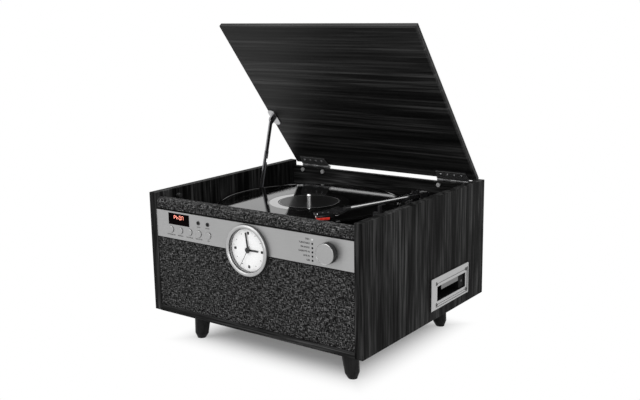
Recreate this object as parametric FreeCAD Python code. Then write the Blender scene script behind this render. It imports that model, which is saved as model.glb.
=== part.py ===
"""Tabletop record player in a wooden cabinet with a cloth front.

Millimetres, +Z up, front towards -Y. The origin lies on the floor under the middle of the cabinet.
The lid stands open on its sliding stay and the tonearm is over the first groove of the record.
"""
import FreeCAD
import Part
import math
import os

Vector = FreeCAD.Vector
ORIGIN = Vector(0, 0, 0)
X_AXIS = Vector(1, 0, 0)
Y_AXIS = Vector(0, 1, 0)
Z_AXIS = Vector(0, 0, 1)
SIDES = (-1, 1)

# Driving dimensions of the cabinet
cabinet_width = 410.0
cabinet_depth = 373.0
cabinet_height = 197.0
foot_height = 55.0
side_thickness = 13.5
bottom_thickness = 10.0
back_thickness = 9.0
back_drop = 10.5
edge_round = 0.8

# Clearances used all over: set pieces, running shafts and the overrun of every cut
seat_gap = 0.3
running_gap = 0.05
overrun = 2.0

# Faces of the cabinet that the other pieces go by
half_width = cabinet_width / 2
inner = half_width - side_thickness
front = -cabinet_depth / 2
rear = cabinet_depth / 2
back_inner = rear - back_thickness
floor_top = foot_height + bottom_thickness
top = foot_height + cabinet_height
back_top = top - back_drop


def block(x, y, z):
    """Box between the low and high value of each axis."""
    return Part.makeBox(x[1] - x[0], y[1] - y[0], z[1] - z[0], Vector(x[0], y[0], z[0]))


def round_bar(radius, start, end):
    """Straight round bar from one point to another."""
    path = Vector(*end) - Vector(*start)
    return Part.makeCylinder(radius, path.Length, Vector(*start), path)


def turned(profile, centre, axis):
    """Solid of revolution: profile holds (radius, distance along the axis) corners from the centre."""
    corners = [Vector(radius, 0, along) for radius, along in profile]
    wire = Part.makePolygon(corners + corners[:1])
    solid = Part.Face(wire).revolve(ORIGIN, Z_AXIS, 360)
    solid.Placement = FreeCAD.Placement(Vector(*centre), FreeCAD.Rotation(Z_AXIS, axis))
    return solid


def plate(corners, low, high):
    """Outline of (x, y) corners drawn out along Z from low to high."""
    points = [Vector(x, y, low) for x, y in corners]
    wire = Part.makePolygon(points + points[:1])
    return Part.Face(wire).extrude(Vector(0, 0, high - low))


def span(centre, width):
    """Low and high value of a width about its centre."""
    return (centre - width / 2, centre + width / 2)


def edges_along(shape, axis):
    """Straight edges of a shape that run along one axis."""
    found = []
    for edge in shape.Edges:
        run = edge.Vertexes[-1].Point - edge.Vertexes[0].Point
        if run.Length > 0 and abs(run.dot(axis)) > 0.999 * run.Length:
            found.append(edge)
    return found


def save(node, *solids):
    """Write one node as a STEP file; several solids go in as a group."""
    shape = solids[0] if len(solids) == 1 else Part.makeCompound(list(solids))
    shape.exportStep("parts/" + node + ".step")


# Side cassette slot: places and sizes that the right panel needs for its cut-out
bezel_width = 123.0
bezel_height = 52.0
bezel_thickness = 3.0
bezel_from_back = 58.0
bezel_from_bottom = 16.2
slot_width = 95.0
slot_height = 24.0
slot_shift_back = 3.5
slot_shift_down = 1.0
housing_wall = 2.0
housing_depth = 112.0
housing_fit = 0.4
bezel_y = rear - bezel_from_back - bezel_width / 2
bezel_z = foot_height + bezel_from_bottom + bezel_height / 2
slot_y = bezel_y + slot_shift_back
slot_z = bezel_z - slot_shift_down
slot_front = slot_y - slot_width / 2
slot_back = slot_y + slot_width / 2
slot_bottom = slot_z - slot_height / 2
slot_top = slot_z + slot_height / 2
bezel_screw_radius = 1.4
bezel_screw_out = 2.5
bezel_screw_off = 5.0
bezel_screw_length = 10.0
bezel_screw_places = [
    (slot_y + a * (slot_width / 2 + bezel_screw_out), slot_z + b * (slot_height / 2 + bezel_screw_off))
    for a in SIDES
    for b in SIDES
]


def side_panel(side):
    """Upright side board with eased edges."""
    ends = sorted((side * inner, side * half_width))
    board = block(ends, (front, rear), (foot_height, top))
    return board.makeFillet(edge_round, board.Edges)


def right_panel():
    """Right board with the cut-out for the cassette housing and pilot holes for its bezel screws."""
    board = side_panel(1)
    through = (inner - overrun, half_width + overrun)
    wide = slot_width + 2 * (housing_wall + housing_fit)
    high = slot_height + 2 * (housing_wall + housing_fit)
    board = board.cut(block(through, span(slot_y, wide), span(slot_z, high)))
    for y, z in bezel_screw_places:
        deep = half_width - bezel_screw_length
        hole = round_bar(bezel_screw_radius + running_gap, (deep, y, z), (half_width + overrun, y, z))
        board = board.cut(hole)
    return board


# Hinges: two butt hinges behind the back panel, on an axis level with the lid's underside
lid_thickness = 8.5
hinge_from_side = 45.5
hinge_width = 62.0
hinge_leaf = 1.5
hinge_leaf_drop = 22.0
knuckle_radius = 3.0
knuckle_count = 5
knuckle_gap = 0.4
hinge_pin_radius = 1.5
hinge_pin_overhang = 1.0
hinge_bolt_radius = 2.0
hinge_bolt_spacing = 46.0
hinge_bolt_drop = 7.5
hinge_bolt_head_radius = 3.6
hinge_bolt_head = 2.0
hinge_nut_radius = 4.0
hinge_nut = 2.6
hinge_from_middle = inner - hinge_from_side
hinge_y = rear + knuckle_radius
hinge_z = top - lid_thickness
knuckle_width = hinge_width / knuckle_count
hinge_bolt_z = hinge_z - hinge_bolt_drop
hinge_bolt_places = [
    side * hinge_from_middle + end * hinge_bolt_spacing / 2 for side in SIDES for end in SIDES
]

# Rear jack plate: its place and the hole behind it
jack_plate_width = 84.0
jack_plate_height = 30.0
jack_plate_thickness = 1.5
jack_plate_margin = 8.0
jack_plate_x = -60.0
jack_plate_from_bottom = 48.0
jack_plate_z = foot_height + jack_plate_from_bottom


def bottom_panel():
    """Floor board between the sides."""
    return block((-inner, inner), (front, rear), (foot_height, floor_top))


def back_panel():
    """Back board with hinge bolt holes and the opening for the rear jacks."""
    board = block((-inner, inner), (back_inner, rear), (floor_top, back_top))
    through = (back_inner - overrun, rear + overrun)
    for x in hinge_bolt_places:
        board = board.cut(round_bar(hinge_bolt_radius + running_gap, (x, through[0], hinge_bolt_z),
                                    (x, through[1], hinge_bolt_z)))
    wide = jack_plate_width - 2 * jack_plate_margin
    high = jack_plate_height - jack_plate_margin
    return board.cut(block(span(jack_plate_x, wide), through, span(jack_plate_z, high)))


# Front: cloth in front of a baffle board, control panel above it, cloth-covered rail on top
cloth_recess = 2.2
cloth_thickness = 1.0
baffle_thickness = 12.0
panel_recess = 1.2
panel_height = 44.2
shadow_gap = 0.8
rail_drop = 8.6
rail_height = 17.0
rail_depth = 28.0
rail_front_round = 8.0
rail_rear_round = 11.0
cloth_front = front + cloth_recess
baffle_front = cloth_front + cloth_thickness
baffle_rear = baffle_front + baffle_thickness
panel_front = front + panel_recess
rail_top = top - rail_drop
rail_bottom = rail_top - rail_height
rail_rear = front + rail_depth
panel_top = rail_bottom - shadow_gap
panel_bottom = panel_top - panel_height
panel_half = inner - seat_gap

# Clock: its place and the round hole that its collar fills
clock_over_panel_edge = 3.6
clock_radius = 40.0
clock_collar_radius = 36.3
clock_collar_fit = 0.3
clock_z = panel_bottom + clock_over_panel_edge
clock_hole_radius = clock_collar_radius + clock_collar_fit

# Speakers: one on each side of the clock, behind the cloth
speaker_place_share = 0.616
speaker_cone_share = 0.31
speaker_flange = 7.0
speaker_flange_thickness = 3.0
speaker_basket_depth = 26.0
speaker_magnet_radius = 22.0
speaker_magnet_depth = 13.0
speaker_wall = 2.0
speaker_from_middle = inner * speaker_place_share
speaker_cone_radius = (panel_bottom - floor_top) * speaker_cone_share
speaker_z = (panel_bottom + floor_top) / 2

# Places on the control panel, as shares of the way from its middle to its end
button_first_share = -0.8355
button_pitch_share = 0.1044
button_count = 5
button_rise = 14.9
button_radius = 5.5
button_fit = 0.25
display_width_share = 0.2334
display_height = 18.3
display_place_share = -0.7433
display_top_margin = 2.6
display_fit = 0.2
jack_place_shares = (-0.5243, -0.4219)
jack_rise = 32.1
jack_nose_radius = 3.2
jack_fit = 0.1
jack_bore_radius = 1.8
jack_bore_depth = 15.0
led_place_share = 0.6266
led_count = 6
led_pitch = 6.2
led_radius = 1.5
led_first_rise = 5.9
led_fit = 0.1
knob_place_share = 0.778
knob_rise = 22.4
knob_shaft_radius = 3.0
knob_shaft_fit = 0.5
button_places = [inner * (button_first_share + button_pitch_share * i) for i in range(button_count)]
button_z = panel_bottom + button_rise
display_x = inner * display_place_share
display_width = inner * display_width_share
display_z = panel_top - display_top_margin - display_height / 2
jack_places = [inner * share for share in jack_place_shares]
jack_z = panel_bottom + jack_rise
led_x = inner * led_place_share
led_places = [panel_bottom + led_first_rise + led_pitch * i for i in range(led_count)]
knob_x = inner * knob_place_share
knob_z = panel_bottom + knob_rise

# Openings in the baffle behind the panel's left and right controls
control_opening_margin = 4.0
left_opening = (display_x - display_width / 2 - control_opening_margin * 2,
                jack_places[-1] + control_opening_margin * 3)
right_opening = (led_x - control_opening_margin * 2, inner - control_opening_margin * 3)
opening_heights = (panel_bottom + control_opening_margin / 2, panel_top - control_opening_margin / 2)


def front_baffle():
    """Board behind cloth and panel, cut out for speakers, clock and controls."""
    board = block((-inner, inner), (baffle_front, baffle_rear), (floor_top, panel_top))
    through = (baffle_front - overrun, baffle_rear + overrun)
    for side in SIDES:
        x = side * speaker_from_middle
        board = board.cut(round_bar(speaker_cone_radius, (x, through[0], speaker_z), (x, through[1], speaker_z)))
    board = board.cut(round_bar(clock_hole_radius, (0, through[0], clock_z), (0, through[1], clock_z)))
    for opening in (left_opening, right_opening):
        board = board.cut(block(opening, through, opening_heights))
    return board


def rail_shape(y_low, y_high, z_low, z_high, front_round):
    """Bar across the cabinet with a round top edge in front and a small one behind."""
    bar = block((-inner, inner), (y_low, y_high), (z_low, z_high))
    top_edges = [e for e in edges_along(bar, X_AXIS) if e.CenterOfMass.z > (z_low + z_high) / 2]
    for_front = [e for e in top_edges if e.CenterOfMass.y < (y_low + y_high) / 2]
    bar = bar.makeFillet(front_round, for_front)
    for_rear = [e for e in edges_along(bar, X_AXIS)
                if e.CenterOfMass.z > z_high - seat_gap and e.CenterOfMass.y > y_high - seat_gap]
    return bar.makeFillet(rail_rear_round, for_rear)


def top_rail():
    """Wooden rail that closes the front above the control panel."""
    return rail_shape(baffle_front, rail_rear, rail_bottom + cloth_thickness, rail_top - cloth_thickness,
                      rail_front_round - cloth_thickness)


def speaker_cloth():
    """Lower front sheet with the clock's hole, and the strip wrapped round the top rail."""
    sheet = block((-panel_half, panel_half), (cloth_front, baffle_front), (floor_top, panel_bottom - shadow_gap))
    sheet = sheet.cut(round_bar(clock_hole_radius, (0, cloth_front - overrun, clock_z),
                                (0, baffle_front + overrun, clock_z)))
    wrap = rail_shape(cloth_front, rail_rear, rail_bottom, rail_top, rail_front_round)
    return sheet, wrap.cut(top_rail())


def control_panel():
    """Brushed panel with all its holes."""
    sheet = block((-panel_half, panel_half), (panel_front, baffle_front), (panel_bottom, panel_top))
    through = (panel_front - overrun, baffle_front + overrun)
    holes = [(x, button_z, button_radius + button_fit) for x in button_places]
    holes += [(x, jack_z, jack_nose_radius + jack_fit) for x in jack_places]
    holes += [(led_x, z, led_radius + led_fit) for z in led_places]
    holes += [(knob_x, knob_z, knob_shaft_radius + knob_shaft_fit)]
    holes += [(0, clock_z, clock_hole_radius)]
    for x, z, radius in holes:
        sheet = sheet.cut(round_bar(radius, (x, through[0], z), (x, through[1], z)))
    window = block(span(display_x, display_width + 2 * display_fit), through,
                   span(display_z, display_height + 2 * display_fit))
    return sheet.cut(window)


# Control boards: two circuit boards on pillars behind the baffle
board_standoff = 4.0
board_thickness = 1.6
board_margin = 3.0
pillar_radius = 2.5
pillar_inset = 3.0
switch_size = 6.0
button_travel = 1.0
button_proud = 1.4
button_edge_round = 1.0
button_flange_radius = 6.8
button_flange = 1.0
button_stem_radius = 2.5
button_stem = 8.0
switch_gap = 0.2
pot_size = 16.0
pot_depth = 9.0
pot_bore_depth = 7.0
board_front = baffle_rear + board_standoff
board_rear = board_front + board_thickness
button_stem_end = baffle_front + seat_gap + button_flange + button_stem
switch_front = button_stem_end + button_travel + switch_gap


def control_boards():
    """Left board with the push switches and right board with the volume potentiometer."""
    heights = (panel_bottom + board_margin, panel_top - board_margin)
    boards = []
    for opening in (left_opening, right_opening):
        reach = (opening[0] - board_margin * 2, opening[1] + board_margin * 2)
        board = block(reach, (board_front, board_rear), heights)
        for x in (reach[0] + pillar_inset, reach[1] - pillar_inset):
            for z in (heights[0] + pillar_inset, heights[1] - pillar_inset):
                board = board.fuse(round_bar(pillar_radius, (x, baffle_rear, z), (x, board_front, z)))
        boards.append(board)
    left, right = boards
    for x in button_places:
        left = left.fuse(block(span(x, switch_size), (switch_front, board_front), span(button_z, switch_size)))
    pot = block(span(knob_x, pot_size), (board_front - pot_depth, board_front), span(knob_z, pot_size))
    bore = round_bar(knob_shaft_radius + running_gap, (knob_x, board_front - pot_depth - overrun, knob_z),
                     (knob_x, board_front - pot_depth + pot_bore_depth, knob_z))
    right = right.fuse(pot).cut(bore)
    return left, right


def push_button(x):
    """Round button with a retaining flange behind the panel and a stem towards its switch."""
    face = panel_front - button_proud
    cap = round_bar(button_radius, (x, face, button_z), (x, baffle_front + seat_gap, button_z))
    rim = [e for e in cap.Edges if abs(e.CenterOfMass.y - face) < seat_gap and len(e.Vertexes) == 1]
    cap = cap.makeFillet(button_edge_round, rim)
    flange_start = baffle_front + seat_gap
    flange = round_bar(button_flange_radius, (x, flange_start, button_z),
                       (x, flange_start + button_flange, button_z))
    stem = round_bar(button_stem_radius, (x, flange_start + button_flange, button_z),
                     (x, button_stem_end, button_z))
    return cap.fuse(flange).fuse(stem).removeSplitter()


# Display module: window in the panel and its body on the left board
display_proud = 0.2
display_body_height = 14.0


def display_module():
    """Dark window with the lamp body behind it."""
    window = block(span(display_x, display_width), (panel_front - display_proud, baffle_front),
                   span(display_z, display_height))
    body = block(span(display_x, display_width), (baffle_front, board_front), span(display_z, display_body_height))
    return window.fuse(body).removeSplitter()


# Front jacks: plastic nose through the panel and a square body on the board
jack_proud = 0.8
jack_body = 9.0


def front_jacks():
    """Two sockets with their bores open to the front."""
    sockets = []
    for x in jack_places:
        nose = round_bar(jack_nose_radius, (x, panel_front - jack_proud, jack_z), (x, baffle_front, jack_z))
        body = block(span(x, jack_body), (baffle_front, board_front), span(jack_z, jack_body))
        bore = round_bar(jack_bore_radius, (x, panel_front - jack_proud - overrun, jack_z),
                         (x, panel_front - jack_proud + jack_bore_depth, jack_z))
        sockets.append(nose.fuse(body).cut(bore))
    return sockets


# Indicator light pipes: rods from the right board to the panel's face
led_proud = 0.3


def indicator_leds():
    """Column of clear rods."""
    return [round_bar(led_radius, (led_x, panel_front - led_proud, z), (led_x, board_front, z))
            for z in led_places]


# Volume knob: turned metal cap on the potentiometer's shaft
knob_radius = 15.4
knob_length = 11.0
knob_off_panel = 0.8
knob_edge = 1.2
knob_shaft_engagement = 6.0


def volume_knob():
    """Knob with a chamfered front edge and its shaft."""
    back = panel_front - knob_off_panel
    face = back - knob_length
    body = turned([(0, 0), (knob_radius - knob_edge, 0), (knob_radius, knob_edge), (knob_radius, knob_length),
                   (0, knob_length)], (knob_x, face, knob_z), Y_AXIS)
    shaft = round_bar(knob_shaft_radius, (knob_x, back, knob_z),
                      (knob_x, board_front - pot_depth + knob_shaft_engagement, knob_z))
    return body.fuse(shaft).removeSplitter()


# Clock: ring bezel with a collar in the baffle, lens, dial, hands and movement
clock_proud = 7.0
clock_ring_inner_radius = 34.0
clock_ring_round = 3.0
clock_inner_bevel = 1.5
lens_depth = 2.2
lens_thickness = 1.5
dial_thickness = 1.0
dial_behind_panel = 1.2
movement_size = 46.0
movement_depth = 16.0
post_radius = 1.2
hand_thickness = 0.4
hand_gap = 0.6
hand_over_dial = 0.7
hour_hand_length = 19.5
hour_hand_width = 3.0
hour_hub_radius = 3.4
minute_hand_length = 27.0
minute_hand_width = 2.9
minute_hub_radius = 3.0
second_hand_length = 29.0
second_hand_width = 0.7
second_hand_tail = 8.0
second_hub_radius = 2.4
hand_tip_share = 0.85
clock_hour = 2.98
clock_minute = 58.7
clock_second = 35.0
ring_front = panel_front - clock_proud
dial_front = panel_front + dial_behind_panel
dial_back = dial_front + dial_thickness
lens_front = ring_front + lens_depth
dial_radius = clock_ring_inner_radius - running_gap


def clock_bezel():
    """Ring with a rounded outer edge and a bevelled inner edge, and its collar through the baffle."""
    ring = round_bar(clock_radius, (0, ring_front, clock_z), (0, panel_front, clock_z))
    rim = [e for e in ring.Edges if abs(e.CenterOfMass.y - ring_front) < seat_gap and len(e.Vertexes) == 1]
    ring = ring.makeFillet(clock_ring_round, rim)
    collar = round_bar(clock_collar_radius, (0, panel_front, clock_z), (0, baffle_rear, clock_z))
    bore = round_bar(clock_ring_inner_radius, (0, ring_front - overrun, clock_z),
                     (0, baffle_rear + overrun, clock_z))
    mouth = turned([(0, 0), (clock_ring_inner_radius + clock_inner_bevel, 0),
                    (clock_ring_inner_radius, clock_inner_bevel), (0, clock_inner_bevel)],
                   (0, ring_front, clock_z), Y_AXIS)
    return ring.fuse(collar).cut(bore).cut(mouth)


def clock_lens():
    """Clear disc seated in the bezel's bore."""
    return round_bar(dial_radius, (0, lens_front, clock_z), (0, lens_front + lens_thickness, clock_z))


def clock_dial():
    """White disc with a hole for the hand post."""
    disc = round_bar(dial_radius, (0, dial_front, clock_z), (0, dial_back, clock_z))
    hole = round_bar(post_radius + running_gap, (0, dial_front - overrun, clock_z),
                     (0, dial_back + overrun, clock_z))
    return disc.cut(hole)


def clock_movement():
    """Works behind the dial with the post that carries the hands."""
    works = block(span(0, movement_size), (dial_back, dial_back + movement_depth), span(clock_z, movement_size))
    stack = hand_over_dial + 3 * hand_thickness + 2 * hand_gap
    post = round_bar(post_radius, (0, dial_front - stack, clock_z), (0, dial_back, clock_z))
    return works.fuse(post).removeSplitter()


def clock_hand(level, length, width, tail, hub_radius, turn_share):
    """Flat hand on its hub; level counts up from the dial, turn_share is the share of a full turn."""
    back = dial_front - hand_over_dial - level * (hand_thickness + hand_gap)
    face = back - hand_thickness
    tip = width * hand_tip_share
    outline = [(-width / 2, -tail), (width / 2, -tail), (width / 2, 0), (tip / 2, length), (-tip / 2, length),
               (-width / 2, 0)]
    if not tail:
        outline = [(-width / 2, 0), (width / 2, 0), (tip / 2, length), (-tip / 2, length)]
    points = [Vector(x, face, z) for x, z in outline]
    blade = Part.Face(Part.makePolygon(points + points[:1])).extrude(Vector(0, hand_thickness, 0))
    hub = round_bar(hub_radius, (0, face, 0), (0, back, 0))
    bore = round_bar(post_radius + running_gap, (0, face - overrun, 0), (0, back + overrun, 0))
    hand = blade.fuse(hub).cut(bore)
    hand.rotate(ORIGIN, Y_AXIS, 360 * turn_share)
    hand.translate(Vector(0, 0, clock_z))
    return hand


# Speakers
def speaker(side):
    """Round loudspeaker: flange on the baffle, basket, cone and magnet in one turned solid."""
    neck = speaker_magnet_radius
    outer = speaker_cone_radius + speaker_flange
    depth = speaker_flange_thickness + speaker_basket_depth
    profile = [(0, depth - speaker_wall), (neck / 2, depth - speaker_wall), (speaker_cone_radius, 0), (outer, 0),
               (outer, speaker_flange_thickness), (speaker_cone_radius + speaker_wall, speaker_flange_thickness),
               (neck, depth), (neck, depth + speaker_magnet_depth), (0, depth + speaker_magnet_depth)]
    return turned(profile, (side * speaker_from_middle, baffle_rear, speaker_z), Y_AXIS)


# Deck: plate on cleats with an upstand behind the electronics
deck_below_top = 43.0
deck_thickness = 4.0
deck_front_setback = 3.0
upstand_thickness = 2.0
cleat_width = 12.0
cleat_height = 12.0
deck_top = top - deck_below_top
deck_bottom = deck_top - deck_thickness
deck_front = board_rear + deck_front_setback
deck_rear = back_inner - seat_gap
deck_half = inner - seat_gap

# Record, mat, platter and bearing, stacked on the deck. The well behind the rail takes the largest record
# that leaves room for the stay on its left and the tonearm on its right.
record_width_share = 0.786
record_depth_share = 0.448
record_shift_share = 0.12
record_rail_gap = 1.5
record_thickness = 2.0
record_edge_round = 0.6
platter_share = 0.651
platter_height = 9.1
platter_lift = 2.5
platter_top_thickness = 3.0
platter_skirt = 3.0
platter_skirt_lift = 1.0
drive_rim_share = 0.755
drive_rim_wall = 4.0
drive_rim_lift = 0.5
platter_hub_radius = 14.0
mat_thickness = 2.4
mat_margin = 1.0
spindle_radius = 3.58
spindle_above_record = 12.0
spindle_nose = 2.0
spindle_neck = 0.28
spindle_neck_height = 0.5
shaft_radius = 4.0
bearing_radius = 8.0
bearing_flange_radius = 12.0
bearing_flange = 2.0
bearing_length = 22.0
bearing_floor = 3.0
well_depth = back_inner - rail_rear
record_radius = min(inner * record_width_share, well_depth * record_depth_share)
record_x = -record_radius * record_shift_share
record_y = rail_rear + record_rail_gap + record_radius
platter_radius = record_radius * platter_share
drive_rim_radius = platter_radius * drive_rim_share
platter_bottom = deck_top + platter_lift
platter_top = platter_bottom + platter_height
mat_top = platter_top + mat_thickness
record_top = mat_top + record_thickness
spindle_neck_radius = spindle_radius - spindle_neck
hole_radius = spindle_radius + running_gap

# Motor under the deck, its pulley inside the platter and the belt round both
motor_direction = 135.0
motor_radius = 17.0
motor_height = 24.0
motor_hole_radius = 8.0
motor_shaft_radius = 1.0
motor_shaft_depth = 15.0
pulley_radius = 5.0
pulley_flange = 0.6
pulley_flange_rise = 1.2
pulley_height = 4.6
pulley_lift = 1.2
belt_thickness = 0.8
belt_height = 2.6
belt_gap = 0.3
pulley_to_centre = (drive_rim_radius + platter_radius - platter_skirt) / 2
motor_x = record_x + pulley_to_centre * math.cos(math.radians(motor_direction))
motor_y = record_y + pulley_to_centre * math.sin(math.radians(motor_direction))
pulley_bottom = platter_bottom + pulley_lift
belt_middle = pulley_bottom + pulley_height / 2

# Tonearm: upright pivot right of the record, straight arm that reaches the first groove
pivot_right_share = 1.0197
pivot_back_share = 0.6457
arm_reach_share = 1.4058
arm_over_record = 10.2
arm_angle = 16.6
arm_base_radius = 24.0
arm_base_height = 15.0
arm_base_edge = 2.0
arm_shaft_radius = 5.0
arm_shaft_length = 12.0
arm_reach = record_radius * arm_reach_share
pivot_x = record_x + record_radius * pivot_right_share
pivot_y = record_y + record_radius * pivot_back_share
arm_z = record_top + arm_over_record
arm_base_top = deck_top + arm_base_height

# Speed selector: slide lever in a slot of the deck
selector_from_right = 31.5
selector_from_front = 62.0
selector_length = 9.0
selector_width = 8.0
selector_height = 6.0
selector_stem = 3.0
selector_stem_depth = 9.0
selector_travel = 16.0
selector_fit = 0.4
selector_x = inner - selector_from_right
selector_y = front + selector_from_front

# Lid and its sliding stay. The stay's lower swivel lies on the circle that the upper pivot travels on,
# so the arm always points at the swivel while it turns by half of the lid's angle.
lid_open_angle = 51.5
lid_side_gap = 0.7
lid_from_hinge = 4.1
lid_length = 334.9
lid_bevel = 2.0
stay_reach = 126.5
stay_drop = 6.5
stay_seat_angle = 18.0
stay_wall_gap = 4.1
stay_thickness = 2.5
stay_rod_width = 7.5
stay_channel_width = 9.0
stay_rod_length = 58.0
stay_eye_radius = 5.0
stay_pin_radius = 2.0
stay_tail = 8.3
stay_groove_width = 5.0
stay_groove_depth = 0.8
stay_notch = 2.2
stay_notch_length = 7.0
guide_half_length = 8.0
guide_wall = 2.0
guide_bridge = 1.6
guide_stud_radius = 3.0
lid_half = inner - lid_side_gap
lid_rear = hinge_y - lid_from_hinge
lid_front = lid_rear - lid_length
stay_lag = math.degrees(math.asin(stay_drop / stay_reach))
stay_left = -inner + stay_wall_gap
stay_right = stay_left + stay_thickness


def on_stay_circle(angle):
    """Point (y, z) of the circle about the hinge, at an angle up from straight forward."""
    return (hinge_y - stay_reach * math.cos(math.radians(angle)),
            hinge_z + stay_reach * math.sin(math.radians(angle)))


stay_top_y, stay_top_z = on_stay_circle(lid_open_angle - stay_lag)
stay_closed_y, stay_closed_z = on_stay_circle(-stay_lag)
swivel_y, swivel_z = on_stay_circle(-stay_seat_angle)
stay_span = math.hypot(stay_top_y - swivel_y, stay_top_z - swivel_z)
stay_tilt = math.degrees(math.atan2(swivel_y - stay_top_y, stay_top_z - swivel_z))
guide_channel_width = stay_channel_width + 2 * seat_gap
guide_width = guide_channel_width + 2 * guide_wall
guide_swing = math.hypot(guide_half_length, guide_width / 2)
deck_slot_margin = 2.0


def opened(shape):
    """Turn a piece of the lid from closed to its open rest position."""
    shape.rotate(Vector(0, hinge_y, hinge_z), X_AXIS, -lid_open_angle)
    return shape


def lid_board():
    """Flat lid board with bevelled edges."""
    board = block((-lid_half, lid_half), (lid_front, lid_rear), (hinge_z, hinge_z + lid_thickness))
    under = [e for e in board.Edges if abs(e.CenterOfMass.z - hinge_z) < seat_gap]
    board = board.makeChamfer(lid_bevel, under)
    return opened(board)


def knuckles(centre, first, grow):
    """Every second knuckle of one hinge, as full round bars."""
    start = centre - hinge_width / 2
    bars = []
    for i in range(first, knuckle_count, 2):
        low = start + i * knuckle_width + knuckle_gap / 2 - grow
        high = start + (i + 1) * knuckle_width - knuckle_gap / 2 + grow
        bars.append((low, high))
    return bars


lid_leaf_length = 18.0
lid_leaf_taper = 3.0
leaf_clearance = 0.5


def cabinet_leaf(centre):
    """Leaf on the back panel with the outer and middle knuckles."""
    leaf = block(span(centre, hinge_width), (rear, rear + hinge_leaf), (hinge_z - hinge_leaf_drop, hinge_z))
    for low, high in knuckles(centre, 1, knuckle_gap):
        leaf = leaf.cut(block((low, high), (rear - overrun, rear + hinge_leaf + overrun),
                              (hinge_z - knuckle_radius - leaf_clearance, hinge_z + overrun)))
    for low, high in knuckles(centre, 0, 0):
        leaf = leaf.fuse(round_bar(knuckle_radius, (low, hinge_y, hinge_z), (high, hinge_y, hinge_z)))
    ends = span(centre, hinge_width + 2 * overrun)
    leaf = leaf.cut(round_bar(hinge_pin_radius + running_gap, (ends[0], hinge_y, hinge_z),
                              (ends[1], hinge_y, hinge_z)))
    for end in SIDES:
        x = centre + end * hinge_bolt_spacing / 2
        leaf = leaf.cut(round_bar(hinge_bolt_radius + running_gap, (x, rear - overrun, hinge_bolt_z),
                                  (x, rear + hinge_leaf + overrun, hinge_bolt_z)))
    return leaf


def lid_leaf(centre):
    """Leaf under the lid: tapered plate with fingers that reach back to the other knuckles."""
    far = lid_rear - lid_leaf_length
    narrow = hinge_width / 2 - lid_leaf_taper
    wide = hinge_width / 2
    leaf = plate([(centre - wide, lid_rear), (centre + wide, lid_rear), (centre + narrow, far),
                  (centre - narrow, far)], hinge_z - hinge_leaf, hinge_z)
    for low, high in knuckles(centre, 1, 0):
        leaf = leaf.fuse(block((low, high), (lid_rear, hinge_y), (hinge_z - hinge_leaf, hinge_z)))
        leaf = leaf.fuse(round_bar(knuckle_radius, (low, hinge_y, hinge_z), (high, hinge_y, hinge_z)))
    ends = span(centre, hinge_width + 2 * overrun)
    leaf = leaf.cut(round_bar(hinge_pin_radius + running_gap, (ends[0], hinge_y, hinge_z),
                              (ends[1], hinge_y, hinge_z)))
    return opened(leaf)


def hexagon_nut(x, start, thickness):
    """Six-sided nut on a bolt that runs along Y."""
    corners = [Vector(x + hinge_nut_radius * math.cos(math.radians(60 * i)), start,
                      hinge_bolt_z + hinge_nut_radius * math.sin(math.radians(60 * i))) for i in range(6)]
    return Part.Face(Part.makePolygon(corners + corners[:1])).extrude(Vector(0, thickness, 0))


def hinge_hardware():
    """Hinge pins, through bolts with their nuts, and the stud of the stay's swivel."""
    pieces = []
    for side in SIDES:
        ends = span(side * hinge_from_middle, hinge_width + 2 * hinge_pin_overhang)
        pieces.append(round_bar(hinge_pin_radius, (ends[0], hinge_y, hinge_z), (ends[1], hinge_y, hinge_z)))
    head = rear + hinge_leaf
    for x in hinge_bolt_places:
        bolt = round_bar(hinge_bolt_radius, (x, back_inner, hinge_bolt_z), (x, head, hinge_bolt_z))
        bolt = bolt.fuse(round_bar(hinge_bolt_head_radius, (x, head, hinge_bolt_z),
                                   (x, head + hinge_bolt_head, hinge_bolt_z)))
        pieces.append(bolt.fuse(hexagon_nut(x, back_inner - hinge_nut, hinge_nut)))
    pieces.append(round_bar(guide_stud_radius, (-inner, swivel_y, swivel_z),
                            (stay_left - 2 * seat_gap, swivel_y, swivel_z)))
    return pieces


# Stay bracket on the lid
bracket_width = 16.0
bracket_length = 36.0
bracket_thickness = 1.5
bracket_round = 7.5
bracket_ear = 2.0
bracket_ear_length = 12.0
bracket_pin_head = 0.9
bracket_pin_head_radius = 3.4


def stay_bracket():
    """Plate under the lid with an ear and a headed pin for the stay's eye."""
    ear = (stay_right + seat_gap, stay_right + seat_gap + bracket_ear)
    base = block((-lid_half + seat_gap, -lid_half + seat_gap + bracket_width),
                 span(stay_closed_y, bracket_length), (hinge_z - bracket_thickness, hinge_z))
    base = base.makeFillet(bracket_round, edges_along(base, Z_AXIS))
    tab = block(ear, span(stay_closed_y, bracket_ear_length), (stay_closed_z - stay_eye_radius, hinge_z))
    pin = round_bar(stay_pin_radius, (stay_left - seat_gap, stay_closed_y, stay_closed_z),
                    (ear[0], stay_closed_y, stay_closed_z))
    head = round_bar(bracket_pin_head_radius,
                     (stay_left - seat_gap - bracket_pin_head, stay_closed_y, stay_closed_z),
                     (stay_left - seat_gap, stay_closed_y, stay_closed_z))
    return opened(base.fuse(tab).fuse(pin).fuse(head).removeSplitter())


def along_stay(shape, y, z):
    """Turn a piece drawn hanging straight down from the origin into the stay's line, at a point."""
    shape.rotate(ORIGIN, X_AXIS, stay_tilt)
    shape.translate(Vector(0, y, z))
    return shape


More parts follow.
